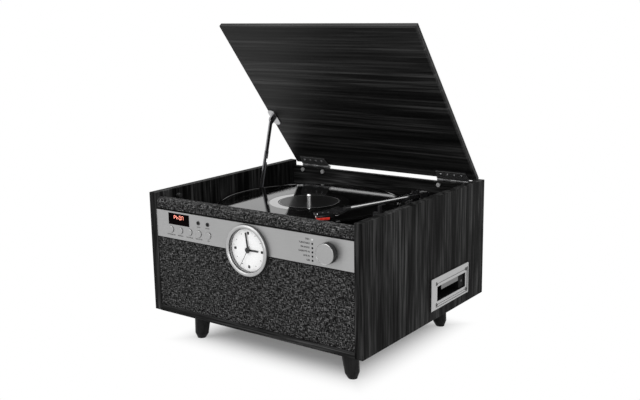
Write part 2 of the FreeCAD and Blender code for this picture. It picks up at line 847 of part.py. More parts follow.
def stay_arm():
    """Flat stay: eye and slim rod above, wider grooved channel with a catch notch below."""
    sides = (stay_left, stay_right)
    end = stay_span + stay_tail
    arm = round_bar(stay_eye_radius, (sides[0], 0, 0), (sides[1], 0, 0))
    arm = arm.fuse(block(sides, span(0, stay_rod_width), (-stay_rod_length, 0)))
    arm = arm.fuse(block(sides, span(0, stay_channel_width), (-end, -stay_rod_length)))
    arm = arm.cut(block((stay_right - stay_groove_depth, stay_right + overrun), span(0, stay_groove_width),
                        (-end - overrun, -stay_rod_length - stay_notch_length)))
    notch_start = stay_rod_length + 2 * stay_notch_length
    arm = arm.cut(block((stay_left - overrun, stay_right + overrun),
                        (stay_channel_width / 2 - stay_notch, stay_channel_width / 2 + overrun),
                        (-notch_start - stay_notch_length, -notch_start)))
    arm = arm.cut(round_bar(stay_pin_radius + running_gap, (sides[0] - overrun, 0, 0),
                            (sides[1] + overrun, 0, 0)))
    return along_stay(arm, stay_top_y, stay_top_z)


def stay_guide():
    """Swivelling sleeve on the left panel that the stay slides through."""
    wall_side = -inner + seat_gap
    room_side = stay_right + seat_gap + guide_bridge
    reach = (-guide_half_length, guide_half_length)
    sleeve = block((wall_side, room_side), span(0, guide_width), reach)
    sleeve = sleeve.cut(block((stay_left - seat_gap, stay_right + seat_gap), span(0, guide_channel_width),
                              (reach[0] - overrun, reach[1] + overrun)))
    sleeve = sleeve.cut(round_bar(guide_stud_radius + running_gap, (wall_side - overrun, 0, 0),
                                  (stay_left, 0, 0)))
    return along_stay(sleeve, swivel_y, swivel_z)


# Lid bumpers: rubber pegs in the side panels, just under the closed lid
bumper_radius = 3.5
bumper_length = 7.5
bumper_from_front = 50.0


def lid_bumpers():
    """One peg in each side."""
    y = front + bumper_from_front
    z = hinge_z - seat_gap - bumper_radius
    return [round_bar(bumper_radius, (side * inner, y, z), (side * (inner - bumper_length), y, z))
            for side in SIDES]


def deck_plate():
    """Plate with its front upstand and all holes."""
    sheet = block((-deck_half, deck_half), (deck_front, deck_rear), (deck_bottom, deck_top))
    upstand = block((-deck_half, deck_half), (deck_front, deck_front + upstand_thickness),
                    (deck_top, rail_bottom))
    sheet = sheet.fuse(upstand).removeSplitter()
    heights = (deck_bottom - overrun, deck_top + overrun)
    for x, y, radius in ((record_x, record_y, bearing_radius + running_gap),
                         (motor_x, motor_y, motor_hole_radius)):
        sheet = sheet.cut(round_bar(radius, (x, y, heights[0]), (x, y, heights[1])))
    room_side = stay_right + seat_gap + guide_bridge + deck_slot_margin
    sheet = sheet.cut(block((-deck_half - overrun, room_side),
                            span(swivel_y, 2 * (guide_swing + deck_slot_margin)), heights))
    selector_slot = (selector_y - selector_stem / 2 - selector_fit,
                     selector_y + selector_travel + selector_stem / 2 + selector_fit)
    return sheet.cut(block(span(selector_x, selector_stem + 2 * selector_fit), selector_slot, heights))


def deck_cleats():
    """Wooden strips on the sides under the deck, the left one parted at the stay."""
    heights = (deck_bottom - cleat_height, deck_bottom)
    gap = guide_swing + deck_slot_margin
    left = (-inner, -inner + cleat_width)
    right = (inner - cleat_width, inner)
    return (block(left, (deck_front, swivel_y - gap), heights), block(left, (swivel_y + gap, deck_rear), heights),
            block(right, (deck_front, deck_rear), heights))


def spindle_bearing():
    """Flanged bush with a closed foot, set in the deck."""
    bush = turned([(0, -bearing_length), (bearing_radius, -bearing_length), (bearing_radius, 0),
                   (bearing_flange_radius, 0), (bearing_flange_radius, bearing_flange), (0, bearing_flange)],
                  (record_x, record_y, deck_top), Z_AXIS)
    foot = deck_top - bearing_length + bearing_floor
    bore = round_bar(shaft_radius + running_gap, (record_x, record_y, foot),
                     (record_x, record_y, deck_top + bearing_flange + overrun))
    return bush.cut(bore)


def spindle():
    """Turned shaft: thick in bearing and platter, a neck in mat and record, a pin with a rounded nose above."""
    foot = deck_top - bearing_length + bearing_floor + running_gap
    shoulder = platter_top - foot
    neck = record_top + spindle_neck_height - foot
    tip = record_top + spindle_above_record - foot
    return turned([(0, 0), (shaft_radius, 0), (shaft_radius, shoulder), (spindle_neck_radius, shoulder),
                   (spindle_neck_radius, neck), (spindle_radius, neck), (spindle_radius, tip - spindle_nose),
                   (spindle_radius - spindle_nose / 2, tip), (0, tip)], (record_x, record_y, foot), Z_AXIS)


def platter():
    """Shallow dish with a hub, an inner rim for the belt and an outer skirt."""
    plate_under = platter_height - platter_top_thickness
    inside = platter_radius - platter_skirt
    rim_inner = drive_rim_radius - drive_rim_wall
    bore = shaft_radius + running_gap
    return turned([(bore, 0), (platter_hub_radius, 0), (platter_hub_radius, plate_under), (rim_inner, plate_under),
                   (rim_inner, drive_rim_lift), (drive_rim_radius, drive_rim_lift),
                   (drive_rim_radius, plate_under), (inside, plate_under), (inside, platter_skirt_lift),
                   (platter_radius, platter_skirt_lift), (platter_radius, platter_height),
                   (bore, platter_height)], (record_x, record_y, platter_bottom), Z_AXIS)


def platter_mat():
    """Rubber mat on the platter."""
    outer = platter_radius - mat_margin
    return turned([(hole_radius, 0), (outer, 0), (outer, mat_thickness), (hole_radius, mat_thickness)],
                  (record_x, record_y, platter_top), Z_AXIS)


def record():
    """Twelve-inch disc with a rounded rim."""
    disc = round_bar(record_radius, (record_x, record_y, mat_top), (record_x, record_y, record_top))
    disc = disc.makeFillet(record_edge_round, [e for e in disc.Edges if len(e.Vertexes) == 1])
    return disc.cut(round_bar(hole_radius, (record_x, record_y, mat_top - overrun),
                              (record_x, record_y, record_top + overrun)))


def motor():
    """Motor can under the deck with a blind bore for the pulley's shaft."""
    can = round_bar(motor_radius, (motor_x, motor_y, deck_bottom - motor_height), (motor_x, motor_y, deck_bottom))
    return can.cut(round_bar(motor_shaft_radius + running_gap,
                             (motor_x, motor_y, deck_bottom - motor_shaft_depth - running_gap),
                             (motor_x, motor_y, deck_bottom + overrun)))


def motor_pulley():
    """Flanged pulley on its shaft."""
    rim = pulley_radius + pulley_flange_rise
    wheel = turned([(0, 0), (rim, 0), (rim, pulley_flange), (pulley_radius, pulley_flange),
                    (pulley_radius, pulley_height - pulley_flange), (rim, pulley_height - pulley_flange),
                    (rim, pulley_height), (0, pulley_height)], (motor_x, motor_y, pulley_bottom), Z_AXIS)
    shaft = round_bar(motor_shaft_radius, (motor_x, motor_y, deck_bottom - motor_shaft_depth),
                      (motor_x, motor_y, pulley_bottom))
    return wheel.fuse(shaft).removeSplitter()


def belt_loop(grow):
    """Filled outline of the belt's path round rim and pulley, standing off them by a distance."""
    large = drive_rim_radius + grow
    small = pulley_radius + grow
    contact = math.acos((large - small) / pulley_to_centre)
    reach = Vector(pulley_to_centre, 0, 0)

    def on_circle(centre, radius, angle):
        return centre + Vector(radius * math.cos(angle), radius * math.sin(angle), 0)

    upper_large = on_circle(ORIGIN, large, contact)
    lower_large = on_circle(ORIGIN, large, -contact)
    upper_small = on_circle(reach, small, contact)
    lower_small = on_circle(reach, small, -contact)
    edges = [Part.Arc(upper_large, on_circle(ORIGIN, large, math.pi), lower_large).toShape(),
             Part.LineSegment(lower_large, lower_small).toShape(),
             Part.Arc(lower_small, on_circle(reach, small, 0), upper_small).toShape(),
             Part.LineSegment(upper_small, upper_large).toShape()]
    return Part.Face(Part.Wire(edges))


def drive_belt():
    """Flat belt round the platter's inner rim and the pulley."""
    outside = belt_loop(belt_gap + belt_thickness).extrude(Vector(0, 0, belt_height))
    inside = belt_loop(belt_gap).extrude(Vector(0, 0, belt_height))
    belt = outside.cut(inside)
    belt.rotate(ORIGIN, Z_AXIS, motor_direction)
    belt.translate(Vector(record_x, record_y, belt_middle - belt_height / 2))
    return belt


# Tonearm base with the boss of the cue lever
cue_boss_out = 26.0
cue_boss_width = 4.0
cue_boss_length = 12.0
cue_boss_back = -10.0
cue_boss_over_deck = 17.0
cue_pin_radius = 2.0
cue_pin_length = 9.0
cue_pin_drop = 4.0
cue_x = pivot_x + cue_boss_out
cue_y = pivot_y + cue_boss_back
cue_z = deck_top + cue_boss_over_deck - cue_pin_drop


def tonearm_base():
    """Round turret with the bore of the arm's upright shaft, and the cue lever's boss and pin."""
    turret = turned([(0, 0), (arm_base_radius, 0), (arm_base_radius, arm_base_height - arm_base_edge),
                     (arm_base_radius - arm_base_edge, arm_base_height), (0, arm_base_height)],
                    (pivot_x, pivot_y, deck_top), Z_AXIS)
    bore = round_bar(arm_shaft_radius + running_gap,
                     (pivot_x, pivot_y, arm_base_top - arm_shaft_length - running_gap),
                     (pivot_x, pivot_y, arm_base_top + overrun))
    boss = block((pivot_x + arm_base_radius / 2, cue_x), span(cue_y, cue_boss_length),
                 (deck_top, arm_base_top - arm_base_edge))
    ear = block((cue_x - cue_boss_width, cue_x), span(cue_y, cue_boss_length),
                (deck_top, deck_top + cue_boss_over_deck))
    pin = round_bar(cue_pin_radius, (cue_x, cue_y, cue_z), (cue_x + cue_pin_length, cue_y, cue_z))
    return turret.fuse(boss).fuse(ear).cut(bore).fuse(pin).removeSplitter()


# Cue lever
cue_hub_radius = 4.5
cue_hub_width = 6.0
cue_lever_length = 27.0
cue_lever_thickness = 2.4
cue_paddle_length = 10.0
cue_paddle_width = 9.0


def cue_lever():
    """Lever on its pin, with a flat paddle in front."""
    start = cue_x + seat_gap
    sides = (start, start + cue_hub_width)
    middle = (sides[0] + sides[1]) / 2
    flat = span(cue_z, cue_lever_thickness)
    lever = round_bar(cue_hub_radius, (sides[0], cue_y, cue_z), (sides[1], cue_y, cue_z))
    lever = lever.fuse(block(span(middle, cue_lever_thickness * 2), (cue_y - cue_lever_length, cue_y), flat))
    lever = lever.fuse(block(span(middle, cue_paddle_width),
                             (cue_y - cue_lever_length - cue_paddle_length, cue_y - cue_lever_length), flat))
    return lever.cut(round_bar(cue_pin_radius + running_gap, (sides[0] - overrun, cue_y, cue_z),
                               (sides[1] + overrun, cue_y, cue_z)))


# Arm yoke, tube, headshell and cartridge, drawn along -Y from the pivot and then turned
yoke_radius = 16.0
yoke_disc = 3.0
yoke_ear_gap = 8.5
yoke_ear = 3.5
yoke_ear_length = 15.0
yoke_over_axis = 5.5
arm_pin_radius = 1.5
arm_block_clear = 0.5
arm_block_front = 28.0
arm_block_back = 15.0
arm_block_half_height = 4.0
arm_tube_radius = 3.2
headshell_length = 67.0
headshell_offset = 22.0
headshell_overhang = 3.4
headshell_width = 14.0
headshell_side = 38.0
headshell_neck = 12.0
headshell_thickness = 3.0
headshell_collar_radius = 3.9
headshell_collar = 10.0
headshell_collar_lap = 4.0
lift_reach = 11.0
lift_width = 6.0
lift_thickness = 1.2
lift_from_end = 27.0
cartridge_width = 13.0
cartridge_length = 26.0
cartridge_height = 4.9
stylus_width = 8.0
stylus_length = 22.0
stylus_height = 2.4
stylus_tip_radius = 0.9
stylus_point_radius = 0.2
headshell_end = arm_reach + headshell_overhang
arm_tube_end = headshell_end - headshell_length
headshell_under = -headshell_thickness / 2
cartridge_under = headshell_under - cartridge_height
stylus_under = cartridge_under - stylus_height
stylus_point = seat_gap - arm_over_record


def on_arm(shape):
    """Put a piece drawn along -Y from the pivot where the arm points."""
    shape.rotate(ORIGIN, Z_AXIS, -arm_angle)
    shape.translate(Vector(pivot_x, pivot_y, arm_z))
    return shape


def on_shell(shape):
    """Turn a piece drawn along -Y about the stylus point, to the angle between shell and tube."""
    shape.rotate(Vector(0, -arm_reach, 0), Z_AXIS, -headshell_offset)
    return shape


def shell_corner(across, back):
    """Corner of the angled shell, from its middle line and its nose."""
    return on_shell(Part.Vertex(across, back - headshell_end, 0)).Point


def arm_yoke():
    """Swivel with two ears, the cross pin and the upright shaft."""
    foot = arm_base_top + seat_gap - arm_z
    disc_top = foot + yoke_disc
    yoke = round_bar(yoke_radius, (0, 0, foot), (0, 0, disc_top))
    yoke = yoke.fuse(round_bar(arm_shaft_radius, (0, 0, foot - arm_shaft_length), (0, 0, foot)))
    for side in SIDES:
        sides = sorted((side * yoke_ear_gap, side * (yoke_ear_gap + yoke_ear)))
        yoke = yoke.fuse(block(sides, span(0, yoke_ear_length), (disc_top, yoke_over_axis)))
    pin = round_bar(arm_pin_radius, (-yoke_ear_gap - yoke_ear / 2, 0, 0), (yoke_ear_gap + yoke_ear / 2, 0, 0))
    return on_arm(yoke.fuse(pin).removeSplitter())


def tonearm_tube():
    """Pivot block between the yoke's ears, with the straight tube in front."""
    half = yoke_ear_gap - arm_block_clear
    body = block((-half, half), (-arm_block_front, arm_block_back), (-arm_block_half_height, arm_block_half_height))
    body = body.cut(round_bar(arm_pin_radius + running_gap, (-half - overrun, 0, 0), (half + overrun, 0, 0)))
    tube = round_bar(arm_tube_radius, (0, -arm_block_front, 0), (0, -arm_tube_end, 0))
    return on_arm(body.fuse(tube).removeSplitter())


def headshell():
    """Collar and flat shell at the end of the tube, angled inwards, with a finger lift on its right side."""
    half = headshell_width / 2
    neck_y = -arm_tube_end - headshell_collar + headshell_collar_lap
    collar = round_bar(headshell_collar_radius, (0, -arm_tube_end, 0), (0, -arm_tube_end - headshell_collar, 0))
    corners = [shell_corner(-half, 0), shell_corner(half, 0), shell_corner(half, headshell_side)]
    outline = [(corner.x, corner.y) for corner in corners]
    outline += [(headshell_neck / 2, neck_y), (-headshell_neck / 2, neck_y)]
    shell = plate(outline, headshell_under, -headshell_under)
    lift_near = lift_from_end - headshell_end
    lift = block((0, half + lift_reach), (lift_near, lift_near + lift_width),
                 (-headshell_under - lift_thickness, -headshell_under))
    shell = shell.fuse(collar).fuse(on_shell(lift))
    flat = block(span(0, 2 * headshell_length), (-headshell_end - headshell_length, -arm_tube_end),
                 (-headshell_collar_radius * 2, headshell_under - seat_gap))
    return on_arm(shell.cut(flat).removeSplitter())


def cartridge():
    """Cartridge body under the shell, with the stylus carrier and its point."""
    point_y = -arm_reach
    body = block(span(0, cartridge_width), (point_y, point_y + cartridge_length), (cartridge_under, headshell_under))
    carrier = block(span(0, stylus_width), (point_y - stylus_tip_radius * 2, point_y + stylus_length),
                    (stylus_under, cartridge_under))
    tip = Part.makeCone(stylus_tip_radius, stylus_point_radius, stylus_under - stylus_point,
                        Vector(0, point_y, stylus_under), Vector(0, 0, -1))
    return on_arm(on_shell(body.fuse(carrier).fuse(tip).removeSplitter()))


# Arm rest: post with a shelf and an outer wall, and a clip that swings over the parked tube
rest_place_share = 0.62
rest_post_radius = 5.0
rest_shelf_thickness = 2.5
rest_shelf_inward = 5.0
rest_depth = 6.0
rest_wall = 4.0
rest_wall_gap = 0.6
clip_over_axis = 6.8
clip_thickness = 0.9
clip_pin_radius = 1.2
clip_pin_over = 0.1
clip_hub_radius = 2.6
clip_length = 14.0
clip_width = 4.0
rest_y = pivot_y - arm_reach * rest_place_share
rest_wall_x = pivot_x + arm_tube_radius + rest_wall_gap
clip_x = rest_wall_x + rest_wall / 2
clip_bottom = arm_z + clip_over_axis
shelf_top = arm_z - arm_tube_radius - seat_gap


def arm_rest():
    """Fixed rest beside the record, open towards it, with the clip's pin on top."""
    shelf_bottom = shelf_top - rest_shelf_thickness
    post = round_bar(rest_post_radius, (pivot_x, rest_y, deck_top), (pivot_x, rest_y, shelf_bottom))
    shelf = block((pivot_x - rest_shelf_inward, rest_wall_x + rest_wall), span(rest_y, rest_depth),
                  (shelf_bottom, shelf_top))
    wall = block((rest_wall_x, rest_wall_x + rest_wall), span(rest_y, rest_depth),
                 (shelf_top, clip_bottom - seat_gap))
    pin = round_bar(clip_pin_radius, (clip_x, rest_y, clip_bottom - seat_gap),
                    (clip_x, rest_y, clip_bottom + clip_thickness + clip_pin_over))
    return post.fuse(shelf).fuse(wall).fuse(pin).removeSplitter()


def rest_clip():
    """Flat clip on its pin, lying open behind the rest."""
    heights = (clip_bottom, clip_bottom + clip_thickness)
    clip = round_bar(clip_hub_radius, (clip_x, rest_y, heights[0]), (clip_x, rest_y, heights[1]))
    clip = clip.fuse(block(span(clip_x, clip_width), (rest_y, rest_y + clip_length), heights))
    return clip.cut(round_bar(clip_pin_radius + running_gap, (clip_x, rest_y, heights[0] - overrun),
                              (clip_x, rest_y, heights[1] + overrun)))


selector_lift = 0.2


def speed_selector():
    """Slide lever on the deck with its stem through the slot."""
    foot = deck_top + selector_lift
    thumb = block(span(selector_x, selector_width), span(selector_y, selector_length), (foot, foot + selector_height))
    stem = block(span(selector_x, selector_stem), span(selector_y, selector_stem),
                 (deck_top - selector_stem_depth, foot))
    return thumb.fuse(stem).removeSplitter()


# Cassette unit
bezel_edge = 1.5
bezel_recess = 1.0
bezel_recess_out = 6.5
bezel_recess_off = 9.0
carrier_thickness = 1.5
carrier_cheek_inset = 3.5
carrier_cheek_depth = 10.0
carrier_lip_depth = 9.5
carrier_lip_setback = 1.0
carrier_lip_start = 15.0
carrier_back_share = 0.85
eject_width = 19.0
eject_fit = 0.3
eject_depth = 15.0
eject_setback = 0.5
eject_edge = 1.0
screw_head_radius = 2.7
screw_head = 1.2
transport_height = 32.0
transport_margin = 10.0
bezel_front = half_width + bezel_thickness
bezel_floor = bezel_front - bezel_recess
housing_end = half_width - housing_depth
carrier_front = half_width - carrier_lip_setback
eject_front_y = slot_back - eject_fit - eject_width


def cassette_bezel():
    """Frame with bevelled outer edges and a shallow recess round the slot, where the screws sit."""
    frame = block((half_width, bezel_front), span(bezel_y, bezel_width), span(bezel_z, bezel_height))
    outer = [e for e in frame.Edges if abs(e.CenterOfMass.x - bezel_front) < seat_gap]
    frame = frame.makeChamfer(bezel_edge, outer)
    through = (half_width - overrun, bezel_front + overrun)
    frame = frame.cut(block(through, (slot_front, slot_back), (slot_bottom, slot_top)))
    frame = frame.cut(block((bezel_floor, through[1]), span(slot_y, slot_width + 2 * bezel_recess_out),
                            span(slot_z, slot_height + 2 * bezel_recess_off)))
    for y, z in bezel_screw_places:
        frame = frame.cut(round_bar(bezel_screw_radius + running_gap, (through[0], y, z), (through[1], y, z)))
    return frame


def cassette_screws():
    """Four pan-head screws."""
    screws = []
    for y, z in bezel_screw_places:
        shank = round_bar(bezel_screw_radius, (bezel_floor - bezel_screw_length, y, z), (bezel_floor, y, z))
        head = round_bar(screw_head_radius, (bezel_floor, y, z), (bezel_floor + screw_head, y, z))
        screws.append(shank.fuse(head).removeSplitter())
    return screws


def cassette_mechanism():
    """Open-fronted housing behind the bezel with the tape transport on top."""
    outer = block((housing_end, half_width), (slot_front - housing_wall, slot_back + housing_wall),
                  (slot_bottom - housing_wall, slot_top + housing_wall))
    cavity = block((housing_end + housing_wall, half_width + overrun), (slot_front, slot_back),
                   (slot_bottom, slot_top))
    transport = block((housing_end + transport_margin, inner - transport_margin),
                      (slot_front + transport_margin, slot_back - transport_margin),
                      (slot_top + housing_wall, slot_top + housing_wall + transport_height))
    return outer.fuse(transport).cut(cavity).removeSplitter()


def cassette_carrier():
    """Folded steel carrier under the housing's roof: roof plate, front lip and a cheek in front."""
    back = half_width - housing_depth * carrier_back_share
    cheek_start = slot_front + carrier_cheek_inset
    roof = block((back, carrier_front), (cheek_start, eject_front_y - 2 * eject_fit),
                 (slot_top - carrier_thickness, slot_top))
    lip = block((carrier_front - carrier_thickness, carrier_front),
                (cheek_start + carrier_lip_start, eject_front_y - 2 * eject_fit),
                (slot_top - carrier_lip_depth, slot_top))
    cheek = block((carrier_front - carrier_cheek_depth, carrier_front), (cheek_start, cheek_start + carrier_thickness),
                  (slot_bottom, slot_top))
    return roof.fuse(lip).fuse(cheek).removeSplitter()


def eject_button():
    """Key at the rear end of the slot."""
    face = half_width - eject_setback
    key = block((face - eject_depth, face), (eject_front_y, slot_back - eject_fit),
                (slot_bottom + eject_fit, slot_top - eject_fit))
    rim = [e for e in key.Edges if abs(e.CenterOfMass.x - face) < seat_gap]
    return key.makeFillet(eject_edge, rim)


# Rear jack plate: power inlet and two line sockets
inlet_offset = 26.0
inlet_radius = 5.5
inlet_bore_radius = 3.2
inlet_depth = 10.0
inlet_pin_radius = 1.0
inlet_proud = 2.0
line_socket_offsets = (-24.0, -6.0)
line_socket_radius = 4.2
line_socket_bore_radius = 1.6
line_socket_length = 9.0


def rear_jack_plate():
    """Plate over the back panel's opening with its sockets."""
    outside = rear + jack_plate_thickness
    cover = block(span(jack_plate_x, jack_plate_width), (rear, outside), span(jack_plate_z, jack_plate_height))
    inlet_x = jack_plate_x + inlet_offset
    face = outside + inlet_proud
    cover = cover.fuse(round_bar(inlet_radius, (inlet_x, rear, jack_plate_z), (inlet_x, face, jack_plate_z)))
    cover = cover.fuse(round_bar(inlet_radius, (inlet_x, face - inlet_depth, jack_plate_z),
                                 (inlet_x, rear, jack_plate_z)))
    floor = face - inlet_depth + jack_plate_thickness
    cover = cover.cut(round_bar(inlet_bore_radius, (inlet_x, floor, jack_plate_z),
                                (inlet_x, face + overrun, jack_plate_z)))
    cover = cover.fuse(round_bar(inlet_pin_radius, (inlet_x, floor, jack_plate_z),
                                 (inlet_x, outside, jack_plate_z)))
    for offset in line_socket_offsets:
        x = jack_plate_x + offset
        end = outside + line_socket_length
        cover = cover.fuse(round_bar(line_socket_radius, (x, rear, jack_plate_z), (x, end, jack_plate_z)))
        cover = cover.cut(round_bar(line_socket_bore_radius, (x, outside, jack_plate_z),
                                    (x, end + overrun, jack_plate_z)))
    return cover.removeSplitter()


# Feet: splayed tapered legs cut level at floor and cabinet
foot_inset = 52.0
foot_splay = 7.0
foot_top_radius = 14.5
foot_shoulder_radius = 11.2
foot_shoulder_height = 8.5
foot_glide_radius = 7.0


def foot(x_side, y_side):
    """One leg, leaning outwards from its seat to its glide."""
    length = foot_height * 2
    flare = (foot_top_radius - foot_shoulder_radius) / (foot_height - foot_shoulder_height)
    leg = turned([(0, -foot_shoulder_height), (foot_glide_radius, -foot_shoulder_height), (foot_glide_radius, 0),
                  (foot_shoulder_radius, foot_shoulder_height),
                  (foot_shoulder_radius + flare * (length - foot_shoulder_height), length), (0, length)],
                 (0, 0, 0), Z_AXIS)
    leg.rotate(ORIGIN, Y_AXIS, -x_side * foot_splay)
    leg.translate(Vector(x_side * (half_width - foot_inset), y_side * (rear - foot_inset), 0))
    level = block((-cabinet_width, cabinet_width), (-cabinet_depth, cabinet_depth), (0, foot_height))
    return leg.common(level)


def feet():
    """Four legs."""
    return [foot(x_side, y_side) for x_side in SIDES for y_side in SIDES]


os.makedirs("parts", exist_ok=True)

save("left_side_panel", side_panel(-1))
save("right_side_panel", right_panel())
save("bottom_panel", bottom_panel())
save("back_panel", back_panel())
save("front_baffle", front_baffle())
save("top_rail", top_rail())
save("speaker_cloth", *speaker_cloth())
save("control_panel", control_panel())
save("control_boards", *control_boards())
save("display_module", display_module())
save("front_jacks", *front_jacks())
save("indicator_leds", *indicator_leds())
save("volume_knob", volume_knob())
for number, place in enumerate(button_places, 1):
    save("button_" + str(number), push_button(place))
save("clock_bezel", clock_bezel())
save("clock_lens", clock_lens())
save("clock_dial", clock_dial())
save("clock_movement", clock_movement())
save("hour_hand", clock_hand(0, hour_hand_length, hour_hand_width, 0, hour_hub_radius, clock_hour / 12))
save("minute_hand", clock_hand(1, minute_hand_length, minute_hand_width, 0, minute_hub_radius, clock_minute / 60))
save("second_hand", clock_hand(2, second_hand_length, second_hand_width, second_hand_tail, second_hub_radius,
                               clock_second / 60))
save("speakers", *[speaker(side) for side in SIDES])
save("deck_plate", deck_plate())
save("deck_cleats", *deck_cleats())
save("spindle_bearing", spindle_bearing())
save("spindle", spindle())
save("platter", platter())
save("platter_mat", platter_mat())
save("record", record())
save("motor", motor())
save("motor_pulley", motor_pulley())
save("drive_belt", drive_belt())
save("tonearm_base", tonearm_base())
save("arm_yoke", arm_yoke())
save("tonearm_tube", tonearm_tube())
save("headshell", headshell())
save("cartridge", cartridge())
save("arm_rest", arm_rest())
save("rest_clip", rest_clip())
save("cue_lever", cue_lever())
save("speed_selector", speed_selector())
save("lid_board", lid_board())
save("hinge_lid_leaves", *[lid_leaf(side * hinge_from_middle) for side in SIDES])
save("hinge_cabinet_leaves", *[cabinet_leaf(side * hinge_from_middle) for side in SIDES])
save("hinge_hardware", *hinge_hardware())
save("stay_bracket", stay_bracket())
save("stay_arm", stay_arm())
save("stay_guide", stay_guide())
save("lid_bumpers", *lid_bumpers())
save("cassette_bezel", cassette_bezel())
save("cassette_screws", *cassette_screws())
save("cassette_mechanism", cassette_mechanism())
save("cassette_carrier", cassette_carrier())
save("eject_button", eject_button())
save("rear_jack_plate", rear_jack_plate())
save("feet", *feet())
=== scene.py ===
"""Looks of a tabletop record player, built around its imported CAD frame. Metres, front towards -Y, +Z up."""
import math

import bmesh
import bpy
from mathutils import Matrix, Vector


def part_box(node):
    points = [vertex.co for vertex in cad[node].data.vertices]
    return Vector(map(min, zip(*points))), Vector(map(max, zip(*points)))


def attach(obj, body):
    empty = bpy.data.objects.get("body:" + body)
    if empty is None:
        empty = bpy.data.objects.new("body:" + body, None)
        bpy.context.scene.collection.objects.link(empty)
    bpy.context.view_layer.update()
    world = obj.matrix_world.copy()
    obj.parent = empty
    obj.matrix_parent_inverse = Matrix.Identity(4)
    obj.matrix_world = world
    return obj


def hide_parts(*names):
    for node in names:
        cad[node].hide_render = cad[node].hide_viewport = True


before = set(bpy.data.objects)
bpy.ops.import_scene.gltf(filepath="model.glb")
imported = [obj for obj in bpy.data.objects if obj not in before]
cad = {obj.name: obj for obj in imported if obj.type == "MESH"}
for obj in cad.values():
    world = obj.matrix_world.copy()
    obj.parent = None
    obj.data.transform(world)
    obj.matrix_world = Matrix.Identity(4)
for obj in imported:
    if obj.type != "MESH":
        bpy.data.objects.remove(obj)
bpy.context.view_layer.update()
mm = 0.001

# Camera. It stands in front of the right corner, a little above the lid's hinge,
# at the place, turn and field of view that the photograph's own lines give.
camera_place = Vector((0.8569, -1.1727, 0.5413))
camera_turn = math.radians(36.18)
camera_tip = math.radians(12.18)
camera_roll = math.radians(-0.92)
ahead = Vector((-math.sin(camera_turn) * math.cos(camera_tip), math.cos(camera_turn) * math.cos(camera_tip),
                -math.sin(camera_tip)))
level_right = Vector((math.cos(camera_turn), math.sin(camera_turn), 0))
level_up = level_right.cross(ahead)
right = level_right * math.cos(camera_roll) + level_up * math.sin(camera_roll)
up = right.cross(ahead)
bpy.ops.object.camera_add()
camera = bpy.context.active_object
camera.name = "photo_camera"
camera.data.sensor_width = 36.0
camera.data.lens = 50.72
camera.data.clip_start = 0.01
camera.matrix_world = Matrix.Translation(camera_place) @ Matrix((right, up, -ahead)).transposed().to_4x4()
bpy.context.scene.camera = camera
bpy.context.scene.view_settings.view_transform = "Standard"

# Studio. White surroundings, which the camera and glossy surfaces see as plain white,
# a white floor that keeps the contact shadow, and large soft lamps above and beside.
fill_strength = 0.68
white_strength = 1.0
floor_grey = 0.8
floor_lift = 0.13
footprint_half = (0.205, 0.1865, 0)
fade_from = -0.09
fade_to = 0.004


def wired(tree, kind, *sources, operation=None):
    """New node with outputs wired to its first inputs, in order."""
    node = tree.nodes.new("ShaderNode" + kind)
    if operation:
        node.operation = operation
    for socket, source in zip(node.inputs, sources):
        tree.links.new(source, socket)
    return node


def seen_plainly(tree):
    """1 for rays of the camera, of glossy surfaces and through clear ones; 0 for the scene's own light."""
    path = wired(tree, "LightPath")
    seen = path.outputs["Is Camera Ray"]
    for ray in ("Is Glossy Ray", "Is Transmission Ray"):
        seen = wired(tree, "Math", seen, path.outputs[ray], operation="MAXIMUM").outputs[0]
    return seen


studio = bpy.data.worlds.new("studio")
bpy.context.scene.world = studio
studio.use_nodes = True
sky = studio.node_tree
sky.nodes.clear()
sky_layers = []
for strength in (fill_strength, white_strength):
    layer = wired(sky, "Background")
    layer.inputs["Color"].default_value = (1.0, 1.0, 1.0, 1)
    layer.inputs["Strength"].default_value = strength
    sky_layers.append(layer.outputs[0])
sky_mix = wired(sky, "MixShader", seen_plainly(sky), *sky_layers)
wired(sky, "OutputWorld", sky_mix.outputs[0])

bpy.ops.mesh.primitive_plane_add(size=12.0, location=(0, 0, 0))
floor = bpy.context.active_object
floor.name = "studio_floor"
floor_white = bpy.data.materials.new("floor_white")
floor_white.use_nodes = True
ground = floor_white.node_tree
ground.nodes.clear()
seen = seen_plainly(ground)
mirrored = wired(ground, "VectorMath", wired(ground, "TexCoord").outputs["Object"], operation="ABSOLUTE")
past_edge = wired(ground, "VectorMath", mirrored.outputs[0], operation="SUBTRACT")
past_edge.inputs[1].default_value = footprint_half
axes = wired(ground, "SeparateXYZ", past_edge.outputs[0])
outside = wired(ground, "Math", axes.outputs["X"], axes.outputs["Y"], operation="MAXIMUM")
fade = wired(ground, "MapRange", outside.outputs[0])
fade.interpolation_type = "SMOOTHSTEP"
fade.inputs["From Min"].default_value = fade_from
fade.inputs["From Max"].default_value = fade_to
far = wired(ground, "Math", fade.outputs["Result"], seen, operation="MULTIPLY")
diffuse = wired(ground, "BsdfDiffuse")
diffuse.inputs["Color"].default_value = (floor_grey, floor_grey, floor_grey, 1)
lift = wired(ground, "Math", seen, operation="MULTIPLY")
lift.inputs[1].default_value = floor_lift
lifted = wired(ground, "Emission")
ground.links.new(lift.outputs[0], lifted.inputs["Strength"])
near = wired(ground, "AddShader", diffuse.outputs[0], lifted.outputs[0])
blank = wired(ground, "Emission")
blank.inputs["Strength"].default_value = white_strength
floor_mix = wired(ground, "MixShader", far.outputs[0], near.outputs[0], blank.outputs[0])
wired(ground, "OutputMaterial", floor_mix.outputs[0])
floor.data.materials.append(floor_white)


